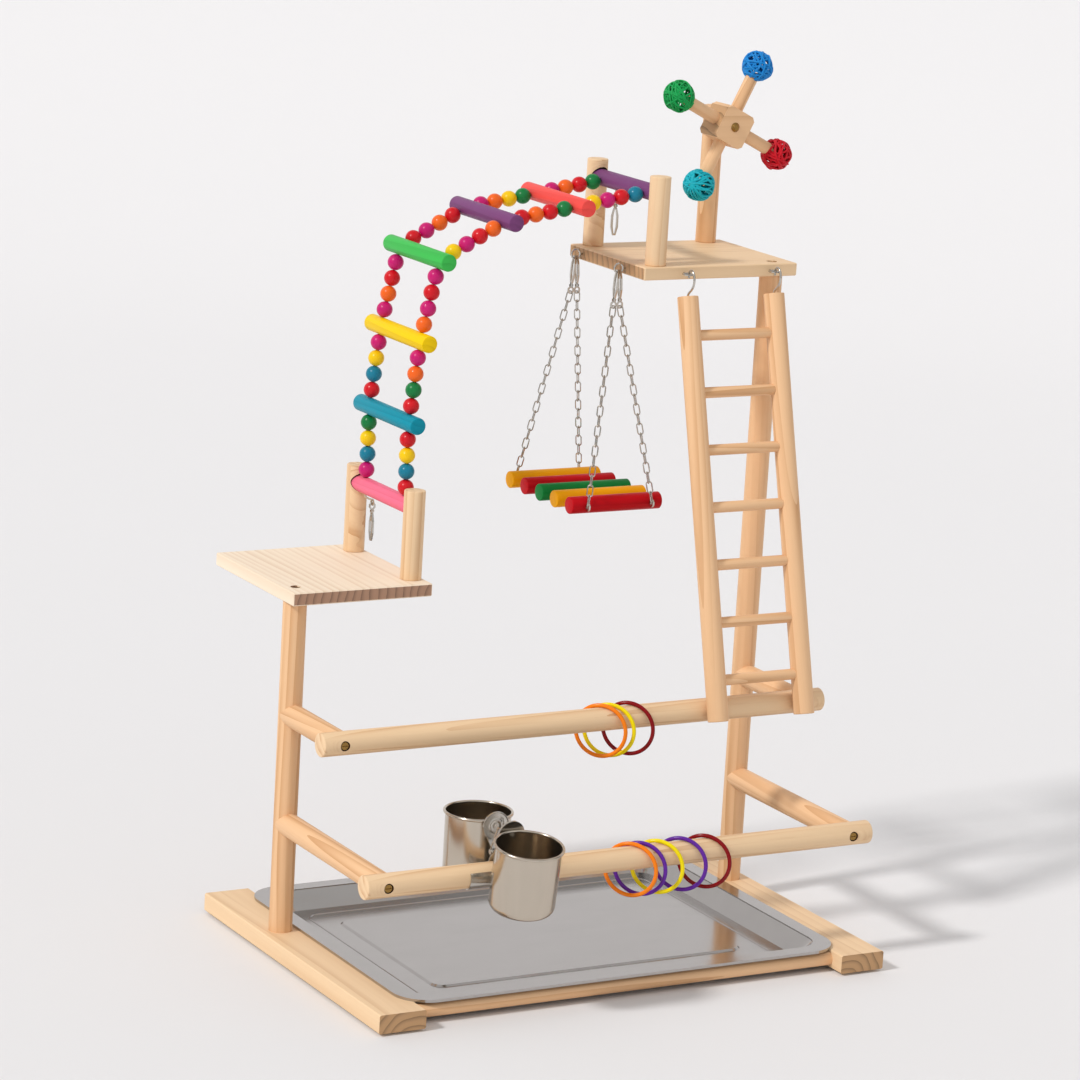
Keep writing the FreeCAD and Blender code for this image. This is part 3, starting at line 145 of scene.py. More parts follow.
def solids(node):
    """Places of the corners of each separate solid of a CAD node."""
    bm = merged(node)
    seen = set()
    found = []
    for vert in bm.verts:
        if vert in seen:
            continue
        seen.add(vert)
        queue = [vert]
        for v in queue:
            for edge in v.link_edges:
                other = edge.other_vert(v)
                if other not in seen:
                    seen.add(other)
                    queue.append(other)
        found.append(np.array([v.co[:] for v in queue]))
    bm.free()
    return found


def measured(points):
    """Middle, axes from the longest to the shortest, and half sizes along them."""
    _, vectors = np.linalg.eigh(np.cov((points - points.mean(0)).T))
    axes = [Vector(vectors[:, i]) for i in (2, 1, 0)]
    middle = Vector((0, 0, 0))
    halves = []
    for axis in axes:
        reach = points @ np.array(axis)
        middle += axis * float(reach.max() + reach.min()) / 2
        halves.append(float(reach.max() - reach.min()) / 2)
    return middle, axes, halves


def stick_ends(points):
    """Two ends and the radius of a round stick."""
    way = measured(points)[1][0]
    for axis in (X, Y, Z):
        if abs(way.dot(axis)) > SQUARE:
            way = axis.copy()
    reach = points @ np.array(way)
    if way in (X, Y, Z):
        mid = Vector((points.max(0) + points.min(0)) / 2)
        ends = [mid + way * (float(e) - mid.dot(way)) for e in (reach.min(), reach.max())]
    else:
        ends = [Vector(points[abs(reach - e) < LEVEL].mean(0)) for e in (reach.min(), reach.max())]
        way = (ends[1] - ends[0]).normalized()
    off = points - np.array(ends[0])
    off = off - np.outer(off @ np.array(way), np.array(way))
    return ends[0], ends[1], float(np.sqrt((off**2).sum(1)).max())


def arc(start, stop, steps):
    """Angles in radians from start to stop, both in degrees and both included."""
    return [math.radians(start + (stop - start) * i / steps) for i in range(steps + 1)]


def turn_to(way, side=None):
    """Rotation that carries Z to way, and X near side."""
    z = way.normalized()
    x = side if side is not None else (X if abs(z.dot(X)) < 0.9 else Y)
    x = (x - z * x.dot(z)).normalized()
    y = z.cross(x)
    return Matrix((x, y, z)).transposed().to_4x4()


def finish_piece(name, bm, body, material, nodes=()):
    """Makes an object of the mesh and hangs it on the frame."""
    bmesh.ops.recalc_face_normals(bm, faces=bm.faces)
    mesh = bpy.data.meshes.new(name)
    bm.to_mesh(mesh)
    bm.free()
    mesh.polygons.foreach_set("use_smooth", [True] * len(mesh.polygons))
    mesh.set_sharp_from_angle(angle=SHARP)
    piece = bpy.data.objects.new(name, mesh)
    bpy.context.scene.collection.objects.link(piece)
    mesh.materials.append(material)
    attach(piece, body)
    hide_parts(*nodes)
    return piece


def add_shape(bm, other, matrix):
    """Adds a copy of another mesh, placed."""
    temp = bpy.data.meshes.new("temp")
    other.to_mesh(temp)
    temp.transform(matrix)
    bm.from_mesh(temp)
    bpy.data.meshes.remove(temp)


def add_round(bm, a, b, radius, sides):
    """Adds a round bar about the origin as long as from a to b; returns its corners and the move that places it."""
    made = bmesh.ops.create_cone(
        bm, cap_ends=True, segments=sides, radius1=radius, radius2=radius, depth=(b - a).length
    )["verts"]
    return made, Matrix.Translation((a + b) / 2) @ turn_to(b - a)


def add_stick(bm, a, b, radius, edge, seed):
    """Adds a round stick with eased ends; the grain runs along it."""
    grain = bm.verts.layers.float_vector.get("grain") or bm.verts.layers.float_vector.new("grain")
    end = bm.faces.layers.float.get("end") or bm.faces.layers.float.new("end")
    made, place = add_round(bm, a, b, radius, STICK_SIDES)
    faces = {f for v in made for f in v.link_faces}
    rims = [e for v in made for e in v.link_edges if any(len(f.verts) > 4 for f in e.link_faces)]
    eased = bmesh.ops.bevel(
        bm, geom=list(set(rims)), offset=edge, segments=3, profile=0.5, affect="EDGES", material=-1
    )
    faces = {f for f in faces if f.is_valid} | set(eased["faces"])
    made = list({v for f in faces for v in f.verts})
    rng = random.Random(seed)
    spin = Matrix.Rotation(rng.uniform(0, 6.28), 3, "Z")
    shift = Vector((rng.uniform(-14, 14) * MM, rng.uniform(8, 26) * MM, rng.uniform(0, 3)))
    slope = rng.uniform(-0.05, 0.05)
    for v in made:
        p = spin @ v.co + shift
        p.y += v.co.z * slope
        v[grain] = Vector((p.z, p.x, p.y))
    for f in faces:
        f[end] = END_GRAIN if len(f.verts) > 4 else 0.0
    bmesh.ops.transform(bm, matrix=place, verts=made)


def spun(bm, steps):
    """Turns what is drawn once round Z and joins the seam."""
    bmesh.ops.spin(
        bm, geom=bm.verts[:] + bm.edges[:], cent=(0, 0, 0), axis=Z, angle=2 * math.pi, steps=steps, use_merge=True
    )
    bmesh.ops.remove_doubles(bm, verts=bm.verts, dist=WELD / 2)
    return bm


def ring_of(radius, thick, steps=72, sides=14):
    """A round ring about Z, of wire of radius thick."""
    bm = bmesh.new()
    made = bmesh.ops.create_circle(bm, segments=sides, radius=thick)
    bmesh.ops.rotate(bm, verts=made["verts"], cent=(0, 0, 0), matrix=Matrix.Rotation(math.pi / 2, 3, "X"))
    bmesh.ops.translate(bm, verts=made["verts"], vec=(radius, 0, 0))
    return spun(bm, steps)


def turned(profile, steps):
    """A shape turned about Z from (radius, height) points."""
    bm = bmesh.new()
    verts = [bm.verts.new((r, 0, z)) for r, z in profile]
    for a, b in zip(verts, verts[1:]):
        bm.edges.new((a, b))
    return spun(bm, steps)


def wire(points, radius, closed=False, sides=2, smooth=0):
    """A bent wire as a mesh: straight from point to point, or a smooth curve with that many steps a span."""
    curve = bpy.data.curves.new("wire", "CURVE")
    curve.dimensions = "3D"
    curve.bevel_depth = radius
    curve.bevel_resolution = sides
    curve.use_fill_caps = not closed
    spline = curve.splines.new("NURBS" if smooth else "POLY")
    spline.points.add(len(points) - 1)
    for at, p in zip(spline.points, points):
        at.co = (*p, 1)
    if smooth:
        spline.order_u = 3
        spline.resolution_u = smooth
        spline.use_endpoint_u = not closed
    spline.use_cyclic_u = closed
    holder = bpy.data.objects.new("wire", curve)
    bpy.context.scene.collection.objects.link(holder)
    bpy.context.view_layer.update()
    mesh = bpy.data.meshes.new_from_object(holder)
    bm = bmesh.new()
    bm.from_mesh(mesh)
    bpy.data.objects.remove(holder)
    bpy.data.curves.remove(curve)
    bpy.data.meshes.remove(mesh)
    bmesh.ops.remove_doubles(bm, verts=bm.verts, dist=WELD / 20)
    return bm


def oval_wire(half_length, half_width, radius, steps=20):
    """A chain link about the origin, long way along Z, in the XZ plane."""
    a = half_width - radius
    straight = half_length - radius - a
    points = []
    for i in range(steps):
        t = 2 * math.pi * (i + 0.5) / steps
        points.append(Vector((a * math.cos(t), 0, a * math.sin(t) + math.copysign(straight, math.sin(t)))))
    return wire(points, radius, closed=True)


# ------------------------------------------------------------------ materials


def scaled(base, gain, lift=0.0):
    """A colour made lighter or darker."""
    return tuple(min(1, c * gain + lift) for c in base)


class Tree:
    """Short ways to add and link the nodes of a material."""

    def __init__(self, name):
        self.material = bpy.data.materials.new(name)
        self.material.use_nodes = True
        self.nodes = self.material.node_tree.nodes
        self.links = self.material.node_tree.links
        self.shader = self.nodes["Principled BSDF"]

    def add(self, kind, **settings):
        """A new node with inputs or settings by name."""
        node = self.nodes.new(kind)
        for key, value in settings.items():
            if key in node.inputs:
                node.inputs[key].default_value = value
            else:
                setattr(node, key, value)
        return node

    def math(self, operation, a, b=None):
        """The result of a sum of sockets or numbers."""
        node = self.add("ShaderNodeMath", operation=operation)
        for i, value in enumerate((a, b)):
            if isinstance(value, bpy.types.NodeSocket):
                self.links.new(value, node.inputs[i])
            elif value is not None:
                node.inputs[i].default_value = value
        return node.outputs[0]

    def mix(self, factor, a, b):
        """A blend of two colours, each a socket or a colour."""
        node = self.add("ShaderNodeMix", data_type="RGBA")
        self.links.new(factor, node.inputs[0])
        for i, value in ((6, a), (7, b)):
            if isinstance(value, bpy.types.NodeSocket):
                self.links.new(value, node.inputs[i])
            else:
                node.inputs[i].default_value = (*value[:3], 1)
        return node.outputs[2]

    def mapped(self, at, **settings):
        """Coordinates moved, turned or stretched."""
        node = self.add("ShaderNodeMapping", **settings)
        self.links.new(at, node.inputs["Vector"])
        return node.outputs[0]

    def noise(self, at, scale=1.0, detail=2.0, roughness=0.5):
        """Noise at the coordinates."""
        node = self.add("ShaderNodeTexNoise", Scale=scale, Detail=detail, Roughness=roughness)
        self.links.new(at, node.inputs["Vector"])
        return node.outputs["Fac"]

    def span(self, value, gain, start):
        """start, and gain times the value on top."""
        return self.math("ADD", self.math("MULTIPLY", value, gain), start)

    def feed(self, **sockets):
        """Links sockets into the shader."""
        for key, socket in sockets.items():
            self.links.new(socket, self.shader.inputs[key.replace("_", " ")])

    def set(self, **values):
        """Sets the shader's constants."""
        for key, value in values.items():
            socket = self.shader.inputs[key.replace("_", " ")]
            socket.default_value = (*value, 1) if isinstance(value, tuple) else value

    def bump(self, height, strength, distance):
        """Small relief."""
        node = self.add("ShaderNodeBump", Strength=strength, Distance=distance)
        self.links.new(height, node.inputs["Height"])
        self.feed(Normal=node.outputs[0])


def grain_source(tree, along, heart):
    """Coordinates with X along the grain and the year rings' middle at heart; how much a face shows end grain."""
    if along is None:
        at = tree.add("ShaderNodeAttribute", attribute_name="grain").outputs["Vector"]
        # The "end" attribute also marks the walls of bores, where a dark shade is painted.
        end = tree.add("ShaderNodeAttribute", attribute_name="end").outputs["Fac"]
        return at, end
    place = tree.add("ShaderNodeTexCoord")
    if along == "Y":
        at = tree.mapped(place.outputs["Object"], Rotation=(0, 0, -math.pi / 2), Location=(0.3, heart.x, -heart.z))
    else:
        at = tree.mapped(place.outputs["Object"], Location=(0.3, -heart.y, -heart.z))
    parts = tree.add("ShaderNodeSeparateXYZ")
    tree.links.new(place.outputs["Normal"], parts.inputs[0])
    facing = tree.math("ABSOLUTE", parts.outputs["XYZ".index(along)])
    return at, tree.math("GREATER_THAN", facing, 0.75)


def pine(
    name, light, dark, ends, along=None, heart=None, roughness=0.55, shine=0.3, contrast=1.0, rings_per=1.0
):
    """Planed softwood: year rings seen lengthways, fine fibres, darker end grain, and a painted shade inside bores.
    """
    tree = Tree(name)
    at, end = grain_source(tree, along, heart)
    rings = tree.add(
        "ShaderNodeTexWave", wave_type="RINGS", rings_direction="X", wave_profile="SAW", Scale=78.0 * rings_per,
        Distortion=7.0, Detail=2.5,
    )
    rings.inputs["Detail Scale"].default_value = 0.55
    tree.links.new(tree.mapped(at, Scale=(0.07, 1, 1)), rings.inputs["Vector"])
    ramp = tree.add("ShaderNodeValToRGB")
    ramp.color_ramp.elements[0].position = 0.35
    ramp.color_ramp.elements[1].position = 0.98
    tree.links.new(rings.outputs["Fac"], ramp.inputs[0])
    late = ramp.outputs[0]
    # Fibres are hair thin, tones drift along the stick, and some stretches show their rings more than others.
    fibre = tree.noise(tree.mapped(at, Scale=(26, 850, 850)), detail=3.0, roughness=0.6)
    tone = tree.noise(tree.mapped(at, Scale=(2.2, 34, 34)))
    spread = tree.noise(tree.mapped(at, Scale=(1.2, 75, 75)), detail=1.0)
    some = tree.add("ShaderNodeMapRange")
    for key, value in (("From Min", 0.38), ("From Max", 0.62), ("To Min", 0.12), ("To Max", 1.0)):
        some.inputs[key].default_value = value
    tree.links.new(spread, some.inputs["Value"])
    line = tree.math("MULTIPLY", late, some.outputs[0])
    face = tree.mix(tree.math("MULTIPLY", line, 0.85 * contrast), light, dark)
    face = tree.mix(tree.math("MULTIPLY", fibre, 0.22 * contrast), face, dark)
    face = tree.mix(tree.math("MULTIPLY", tone, 0.35 * contrast), face, light)
    ring_share = tree.math("MULTIPLY", tree.math("POWER", late, 2.2), 0.75)
    sawn = tree.mix(ring_share, ends, scaled(ends, 0.36))
    whole = tree.mix(tree.math("MINIMUM", end, END_GRAIN), face, sawn)
    # Painted shade: faces marked as inside a bore take the dark recess colour instead of the wood.
    bore_shade_mask = tree.math("GREATER_THAN", end, (END_GRAIN + BORE_SHADE) / 2)
    whole = tree.mix(bore_shade_mask, whole, bpy.context.scene.stand_finish.recess_shade[:])
    tree.feed(Base_Color=whole, Roughness=tree.span(fibre, 0.16, roughness - 0.08))
    tree.bump(tree.math("ADD", fibre, tree.math("MULTIPLY", late, 0.4)), 0.25, 0.0002)
    tree.set(Specular_IOR_Level=shine)
    return tree.material


def stained(name, base, ends=None):
    """Wood stained through: the grain shows faintly under the colour."""
    return pine(
        name, scaled(base, 1.08, 0.002), scaled(base, 0.72), ends or scaled(base, 0.5), roughness=0.42, shine=0.12,
        contrast=0.6, rings_per=0.7,
    )


def uneven(name, colours, noise, rough, relief, stretch=(1, 1, 1), **constants):
    """A finish that wanders between two colours.

    noise is its scale, detail and roughness, rough the gain and start of the surface's roughness, and relief the
    bump's strength and distance.
    """
    tree = Tree(name)
    place = tree.add("ShaderNodeTexCoord")
    drift = tree.noise(tree.mapped(place.outputs["Object"], Scale=stretch), *noise)
    tree.feed(Base_Color=tree.mix(drift, *colours), Roughness=tree.span(drift, *rough))
    tree.bump(drift, *relief)
    tree.set(**constants)
    return tree.material


def painted(name, base):
    """Glossy lacquer on a turned bead, a little uneven."""
    return uneven(
        name, (scaled(base, 0.86), scaled(base, 1.1, 0.004)), (160.0, 3.0), (0.14, 0.24), (0.12, 0.0002),
        Coat_Weight=0.1, Coat_Roughness=0.08, Specular_IOR_Level=0.22,
    )


def metal(name, base, roughness, wear=0.5, scale=240.0, stretch=(1, 1, 1)):
    """Worked metal with fine scuffs."""
    return uneven(
        name, (base, scaled(base, 1 - 0.28 * wear)), (scale, 4.0, 0.6), (roughness * 0.7, roughness * 0.6),
        (0.05, 0.0001), stretch, Metallic=1.0,
    )


def plastic(name, base, roughness=0.22):
    """Glossy moulded plastic with a faint ripple."""
    return uneven(
        name, (scaled(base, 0.9), scaled(base, 1.06)), (70.0, 2.0), (0.1, roughness - 0.05), (0.06, 0.0003),
        Coat_Weight=0.06, Coat_Roughness=0.1, Specular_IOR_Level=0.22,
    )


def dyed_strand(name, base):
    """Dyed vine whose tone wanders lighter and darker in fine random patches."""
    return uneven(
        name, (scaled(base, 0.6), scaled(base, 1.35)), (420.0, 4.0, 0.7), (0.3, 0.42), (0.35, 0.0004),
        Specular_IOR_Level=0.25,
    )


MADE = {}


def shared(name, make):
    """A material made once."""
    if name not in MADE:
        MADE[name] = make()
    return MADE[name]


def timber(warm=True):
    """Wood of the round sticks; posts, arms and ladder are warmer than the perches and short posts."""
    f = bpy.context.scene.stand_finish
    name, light, contrast, rings_per = (
        ("pine_warm", f.warm_light, 0.85, 0.62) if warm else ("pine_round", f.pine_light, 0.8, 0.55)
    )
    return shared(name, lambda: pine(
        name, light[:], f.warm_dark[:], f.pine_end[:], contrast=contrast, rings_per=rings_per
    ))


def board_wood(name, along, heart, ends, light=None, contrast=0.7):
    """Wood of one board, with its own year rings."""
    f = bpy.context.scene.stand_finish
    light = light or f.pine_light[:]
    return pine(name, light, f.pine_dark[:], ends, along=along, heart=heart, contrast=contrast, rings_per=0.5)


def steel():
    """Drawn steel of the cups."""
    f = bpy.context.scene.stand_finish
    return shared("cup_steel", lambda: metal("cup_steel", f.steel[:], 0.22, 0.5, 120.0, (1, 1, 0.08)))


def nickel():
    """Plated wire and small fittings."""
    f = bpy.context.scene.stand_finish
    return shared("plated_wire", lambda: metal("plated_wire", f.nickel[:], 0.24, 0.6))


def dress(node, material):
    """Gives a CAD node that is shown as it is its finish."""
    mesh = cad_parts[node].data
    mesh.materials.clear()
    mesh.materials.append(material)


# ------------------------------------------------------------------ pieces


class StandOperator(bpy.types.Operator):
    """What all the stand's operators share"""

    bl_options = {"REGISTER", "UNDO"}


def sticks(name, node, body, material, seed, edge=None):
    """Replaces a CAD node of round sticks by smooth ones."""
    edge = edge or bpy.context.scene.stand_sizes.dowel_round
    bm = bmesh.new()
    for k, points in enumerate(solids(node)):
        a, b, radius = stick_ends(points)
        add_stick(bm, a, b, radius, edge, seed + 7 * k)
    return finish_piece(name, bm, body, material, [node])


def drill(piece, bores):
    """Cuts round holes, each (start, end, radius), into a piece; their walls are marked as recesses, where shade is
    painted.
    """
    bm = bmesh.new()
    bm.verts.layers.float_vector.new("grain")
    end = bm.faces.layers.float.new("end")
    for a, b, radius in bores:
        made, place = add_round(bm, a, b, radius, BORE_SIDES)
        bmesh.ops.transform(bm, matrix=place, verts=made)
    for face in bm.faces:
        face[end] = BORE_SHADE
    mesh = bpy.data.meshes.new("bores")
    bm.to_mesh(mesh)
    bm.free()
    cutter = bpy.data.objects.new("bores", mesh)
    bpy.context.scene.collection.objects.link(cutter)
    cut = piece.modifiers.new("bores", "BOOLEAN")
    cut.operation = "DIFFERENCE"
    cut.solver = "EXACT"
    cut.object = cutter
    view = bpy.context.evaluated_depsgraph_get()
    result = bpy.data.meshes.new_from_object(piece.evaluated_get(view))
    old = piece.data
    piece.modifiers.clear()
    piece.data = result
    result.name = old.name + "_drilled"
    bpy.data.meshes.remove(old)
    bpy.data.objects.remove(cutter)
    bpy.data.meshes.remove(mesh)
    result.set_sharp_from_angle(angle=SHARP)


def screw_bores(node):
    """Recesses of the screws whose heads lie in the front of a perch."""
    play, head = 1.1 * MM, 2.3 * MM
    lo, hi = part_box(node)
    bores = []
    for points in solids("screws"):
        low = Vector(points.min(0))
        high = Vector(points.max(0))
        mid = (low + high) / 2
        if abs(mid.z - (lo.z + hi.z) / 2) > MM or not lo.y - MM < low.y < hi.y:
            continue
        outside = Vector((mid.x, lo.y - 4 * MM, mid.z))
        bottom = Vector((mid.x, low.y + head, mid.z))
        bores.append((outside, bottom, (high.z - low.z) / 2 + play))
    return bores


def socket_bores():
    """Sockets of the bridge's end rungs in the short posts, wider than the rungs, which rest at the bottom."""
    play, sunk, deep = 1.0 * MM, 0.05 * MM, 24 * MM
    posts = solids("bridge_posts")
    bores = []
    for node in ("bridge_rung_pink", "bridge_rung_purple"):
        for points in solids(node):
            a, b, radius = stick_ends(points)
            if not any(near_post(a, post) for post in posts):
                continue
            for end, other in ((a, b), (b, a)):
                way = (other - end).normalized()
                lift = Z * (play - sunk)
                bores.append((end - way * sunk + lift, end + way * deep + lift, radius + play))
    return bores


def near_post(point, post):
    """Whether a point lies within a short post's box, or a millimetre from it."""
    low = post.min(0) - MM
    high = post.max(0) + MM
    return all(low[i] < point[i] < high[i] for i in range(3))


class OBJECT_OT_stand_timber(StandOperator):
    """Posts, arms, perches, braces, feet and boards"""

    bl_idname = "stand.timber"
    bl_label = "Timber"

    def execute(self, context):
        for node in ("post_left", "post_right", "braces", "arms", "perch_upper", "perch_lower", "bridge_posts"):
            wood = timber(not node.startswith(("perch", "bridge")))
            piece = sticks(node + "_wood", node, "stand", wood, len(node) * 17)
            if node.startswith("perch"):
                drill(piece, screw_bores(node))
            if node == "bridge_posts":
                drill(piece, socket_bores())
        f = context.scene.stand_finish
        for node, along, off, ends, light, contrast in (
            ("foot_left", "Y", (0.012, 0, -0.028), f.pine_end[:], None, 0.7),
            ("foot_right", "Y", (-0.016, 0, -0.02), f.pine_end[:], None, 0.7),
            ("platform_lower", "Y", (0.26, 0, -0.05), f.end_dark[:], f.pale_light[:], 0.45),
            ("platform_upper", "X", (0, 0.19, -0.06), f.pine_end[:], None, 0.6),
        ):
            lo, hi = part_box(node)
            middle = (lo + hi) / 2 + Vector(off)
            dress(node, board_wood("pine_" + node, along, middle, ends, light, contrast))
        dress("foot_pads", plastic("pad_rubber", srgb("1C1C1C"), 0.6))
        return {"FINISHED"}


class OBJECT_OT_stand_tray(StandOperator):
    """Pressed steel tray"""

    bl_idname = "stand.tray"
    bl_label = "Tray"

    def execute(self, context):
        f = context.scene.stand_finish
        sizes = context.scene.stand_sizes
        pressed = metal("tray_steel", f.tray[:], 0.17, 0.3, 60.0, (0.25, 1, 1))
        dress("tray", pressed)
        lo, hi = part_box("tray")
        corner, lift = 14 * MM, 0.7 * MM
        reach = sizes.tray_inset + corner
        points = []
        for cx, cy, start in (
            (hi.x - reach, hi.y - reach, 0), (lo.x + reach, hi.y - reach, 90),
            (lo.x + reach, lo.y + reach, 180), (hi.x - reach, lo.y + reach, 270),
        ):
            for t in arc(start, start + 90, 8):
                points.append(Vector((cx + corner * math.cos(t), cy + corner * math.sin(t), lo.z + lift)))
        line = wire(points, sizes.tray_line, closed=True, sides=3)
        finish_piece("tray_line", line, "tray", pressed)
        return {"FINISHED"}


RUNG_CODES = {  # side and sawn end
    "pink": ("F0708C", "C04060"),
    "teal": ("098CA2", "0B5570"),
    "yellow": ("F0C800", "C89A10"),
    "green": ("3EB850", "0B6B1E"),
    "purple": ("784274", "241028"),
    "coral": ("F0504A", "C01018"),
}
BEAD_CODES = {
    "magenta": "C8146E", "red": "D2101E", "orange": "F2661A", "yellow": "F5C800", "green": "0E7A3C", "teal": "107A96",
}
SEAT_CODES = {"amber": "EFA500", "red": "B80010", "green": "087A35"}
BALL_CODES = {"green": "10A050", "blue": "1686D2", "red": "CE1226", "cyan": "14B4C4"}
RING_CODES = {"orange": "F8820F", "yellow": "F7E000", "red": "86000A", "purple": "60229A"}


class OBJECT_OT_stand_bridge(StandOperator):
    """Hanging bridge of stained rungs, beads and cords"""

    bl_idname = "stand.bridge"
    bl_label = "Bridge"

    def execute(self, context):
        for name, (code, end) in RUNG_CODES.items():
            material = stained("rung_" + name, srgb(code), srgb(end))
            sticks("rung_" + name, "bridge_rung_" + name, "stand", material, len(name) * 5)
        for name, code in BEAD_CODES.items():
            node = "beads_" + name
            bm = bmesh.new()
            for points in solids(node):
                self.bead(bm, points, context.scene.stand_sizes.bead_hole)
            finish_piece(node + "_round", bm, "stand", painted("bead_" + name, srgb(code)), [node])
        dress("bridge_cords", plastic("cord", context.scene.stand_finish.cord[:], 0.7))
        return {"FINISHED"}

    @staticmethod
    def bead(bm, points, hole):
        """Adds a round bead in place of a CAD one; its hole is the axis on which the corners lie in fewest levels."""
        middle, axes, _ = measured(points)
        off = points - np.array(middle)
        way = min(axes, key=lambda a: len(np.unique(np.round(off @ np.array(a) / LEVEL))))
        r = max(np.linalg.norm(off, axis=1))
        start = math.asin(hole / r)
        lip = r * math.cos(start) * 0.7
        profile = [(hole, -lip)]
        for t in arc(math.degrees(start), 180 - math.degrees(start), 16):
            profile.append((r * math.sin(t), -r * math.cos(t)))
        profile.append((hole, lip))
        bead = turned(profile, 36)
        add_shape(bm, bead, Matrix.Translation(middle) @ turn_to(way))
        bead.free()


class OBJECT_OT_stand_swing(StandOperator):
    """Swing seat, its wires, chains and snap hooks"""

    bl_idname = "stand.swing"
    bl_label = "Swing"

    def execute(self, context):
        for name, code in SEAT_CODES.items():
            material = stained("seat_" + name, srgb(code))
            sticks("seat_" + name, "swing_rods_" + name, "swing", material, len(name) * 3)
        bm = bmesh.new()
        twist = Matrix.Rotation(math.radians(45), 4, "Z")
        link = None
        for points in solids("swing_chains"):
            middle, axes, halves = measured(points)
            if link is None:
                link = oval_wire(*halves)
            up = axes[0] if axes[0].z > 0 else -axes[0]
            add_shape(bm, link, Matrix.Translation(middle) @ turn_to(up, axes[1]) @ twist)
        link.free()
        finish_piece("chain_links", bm, "swing", nickel(), ["swing_chains"])
        for node in ("swing_hooks", "swing_wires"):
            dress(node, nickel())
        return {"FINISHED"}


class OBJECT_OT_stand_wheel(StandOperator):
    """Spinning wheel with woven balls"""

    bl_idname = "stand.wheel"
    bl_label = "Wheel"

    def execute(self, context):
        f = context.scene.stand_finish
        sticks("wheel_post_wood", "wheel_post", "stand", timber(), 5)
        sticks("wheel_spokes_wood", "wheel_spokes", "wheel", timber(), 9)
        lo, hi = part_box("wheel_hub")
        heart = (lo + hi) / 2 + Vector((0, 0.01, -0.05))
        dress("wheel_hub", board_wood("pine_hub", "X", heart, f.pine_end[:], f.warm_light[:]))
        for i, (name, code) in enumerate(BALL_CODES.items()):
            self.ball(name, dyed_strand("strand_" + name, srgb(code)), 40 + i)
        return {"FINISHED"}

    @staticmethod
    def ball(name, material, seed, loops=27, bends=14):
        """Weaves one ball of loops that lean every way."""
        node = "ball_" + name
        lo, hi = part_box(node)
        middle = (lo + hi) / 2
        radius = (hi - lo).y / 2
        rng = random.Random(seed)
        strand = bpy.context.scene.stand_sizes.strand
        bm = bmesh.new()
        for _ in range(loops):
            lean = Vector((rng.gauss(0, 1), rng.gauss(0, 1), rng.gauss(0, 1))).normalized()
            turn = turn_to(lean)
            reach = radius - strand - rng.uniform(0.0, 2.2) * MM
            off = rng.uniform(-0.42, 0.42) * radius
            points = []
            for i in range(bends):
                t = 2 * math.pi * i / bends
                z = off + rng.uniform(-1, 1) * 1.6 * MM
                r = math.sqrt(max(reach**2 - z**2, 1e-9)) - rng.uniform(0, 0.7) * MM
                points.append(turn @ Vector((r * math.cos(t), r * math.sin(t), z)) + middle)
            loop = wire(points, strand, closed=True, sides=1, smooth=4)
            add_shape(bm, loop, Matrix())
            loop.free()
        finish_piece("woven_" + node, bm, "wheel", material, [node])


class OBJECT_OT_stand_ladder(StandOperator):
    """Ladder with its wire hooks"""

    bl_idname = "stand.ladder"
    bl_label = "Ladder"

    # A hook's bends above its stile: millimetres to the rear of the eye's hole, and above it.
    BEND = ((-4.0, -13.5), (-7.6, -8), (-7.4, 0), (-3.4, 4.8), (1.8, 4.0), (3.0, -0.6), (2.6, -3.4))

    def execute(self, context):
        sticks("ladder_stiles_wood", "ladder_stiles", "ladder", timber(), 21)
        sticks("ladder_rungs_wood", "ladder_rungs", "ladder", timber(), 44, edge=0.3 * MM)
        eye_wire, hook_wire = 0.9 * MM, 1.1 * MM
        bm = bmesh.new()
        for points in solids("ladder_stiles"):
            low, top, _ = stick_ends(points)
            if top.z < low.z:
                low, top = top, low
            eye = min(solids("screw_eyes"), key=lambda e: abs((e[:, 0].max() + e[:, 0].min()) / 2 - top.x))
            hole = Vector((top.x, eye[:, 1].min() + eye_wire, (eye[:, 2].max() + eye[:, 2].min()) / 2))
            into = (low - top).normalized()
            path = [top + into * step * MM for step in (13, 4, -2)]
            path += [hole + Vector((0, y, z)) * MM for y, z in self.BEND]
            hook = wire(path, hook_wire, sides=3, smooth=5)
            add_shape(bm, hook, Matrix())
            hook.free()
        finish_piece("ladder_hooks_bent", bm, "ladder", nickel(), ["ladder_hooks"])
        return {"FINISHED"}


class OBJECT_OT_stand_rings(StandOperator):
    """Plastic rings on the perches"""

    bl_idname = "stand.rings"
    bl_label = "Rings"

    def execute(self, context):
        section = math.sin(math.radians(60))  # the CAD rings are six-sided in section
        for node in sorted(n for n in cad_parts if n.startswith("ring_")):
            tint = node.split("_")[2]
            (points,) = solids(node)
            middle, axes, halves = measured(points)
            thick = halves[2] / section
            loop = ring_of(max(halves[:2]) - thick, thick)
            bmesh.ops.transform(loop, matrix=Matrix.Translation(middle) @ turn_to(axes[2]), verts=loop.verts)
            material = shared("hoop_" + tint, lambda: plastic("hoop_" + tint, srgb(RING_CODES[tint])))
            finish_piece(node + "_smooth", loop, node + "_body", material, [node])
        return {"FINISHED"}


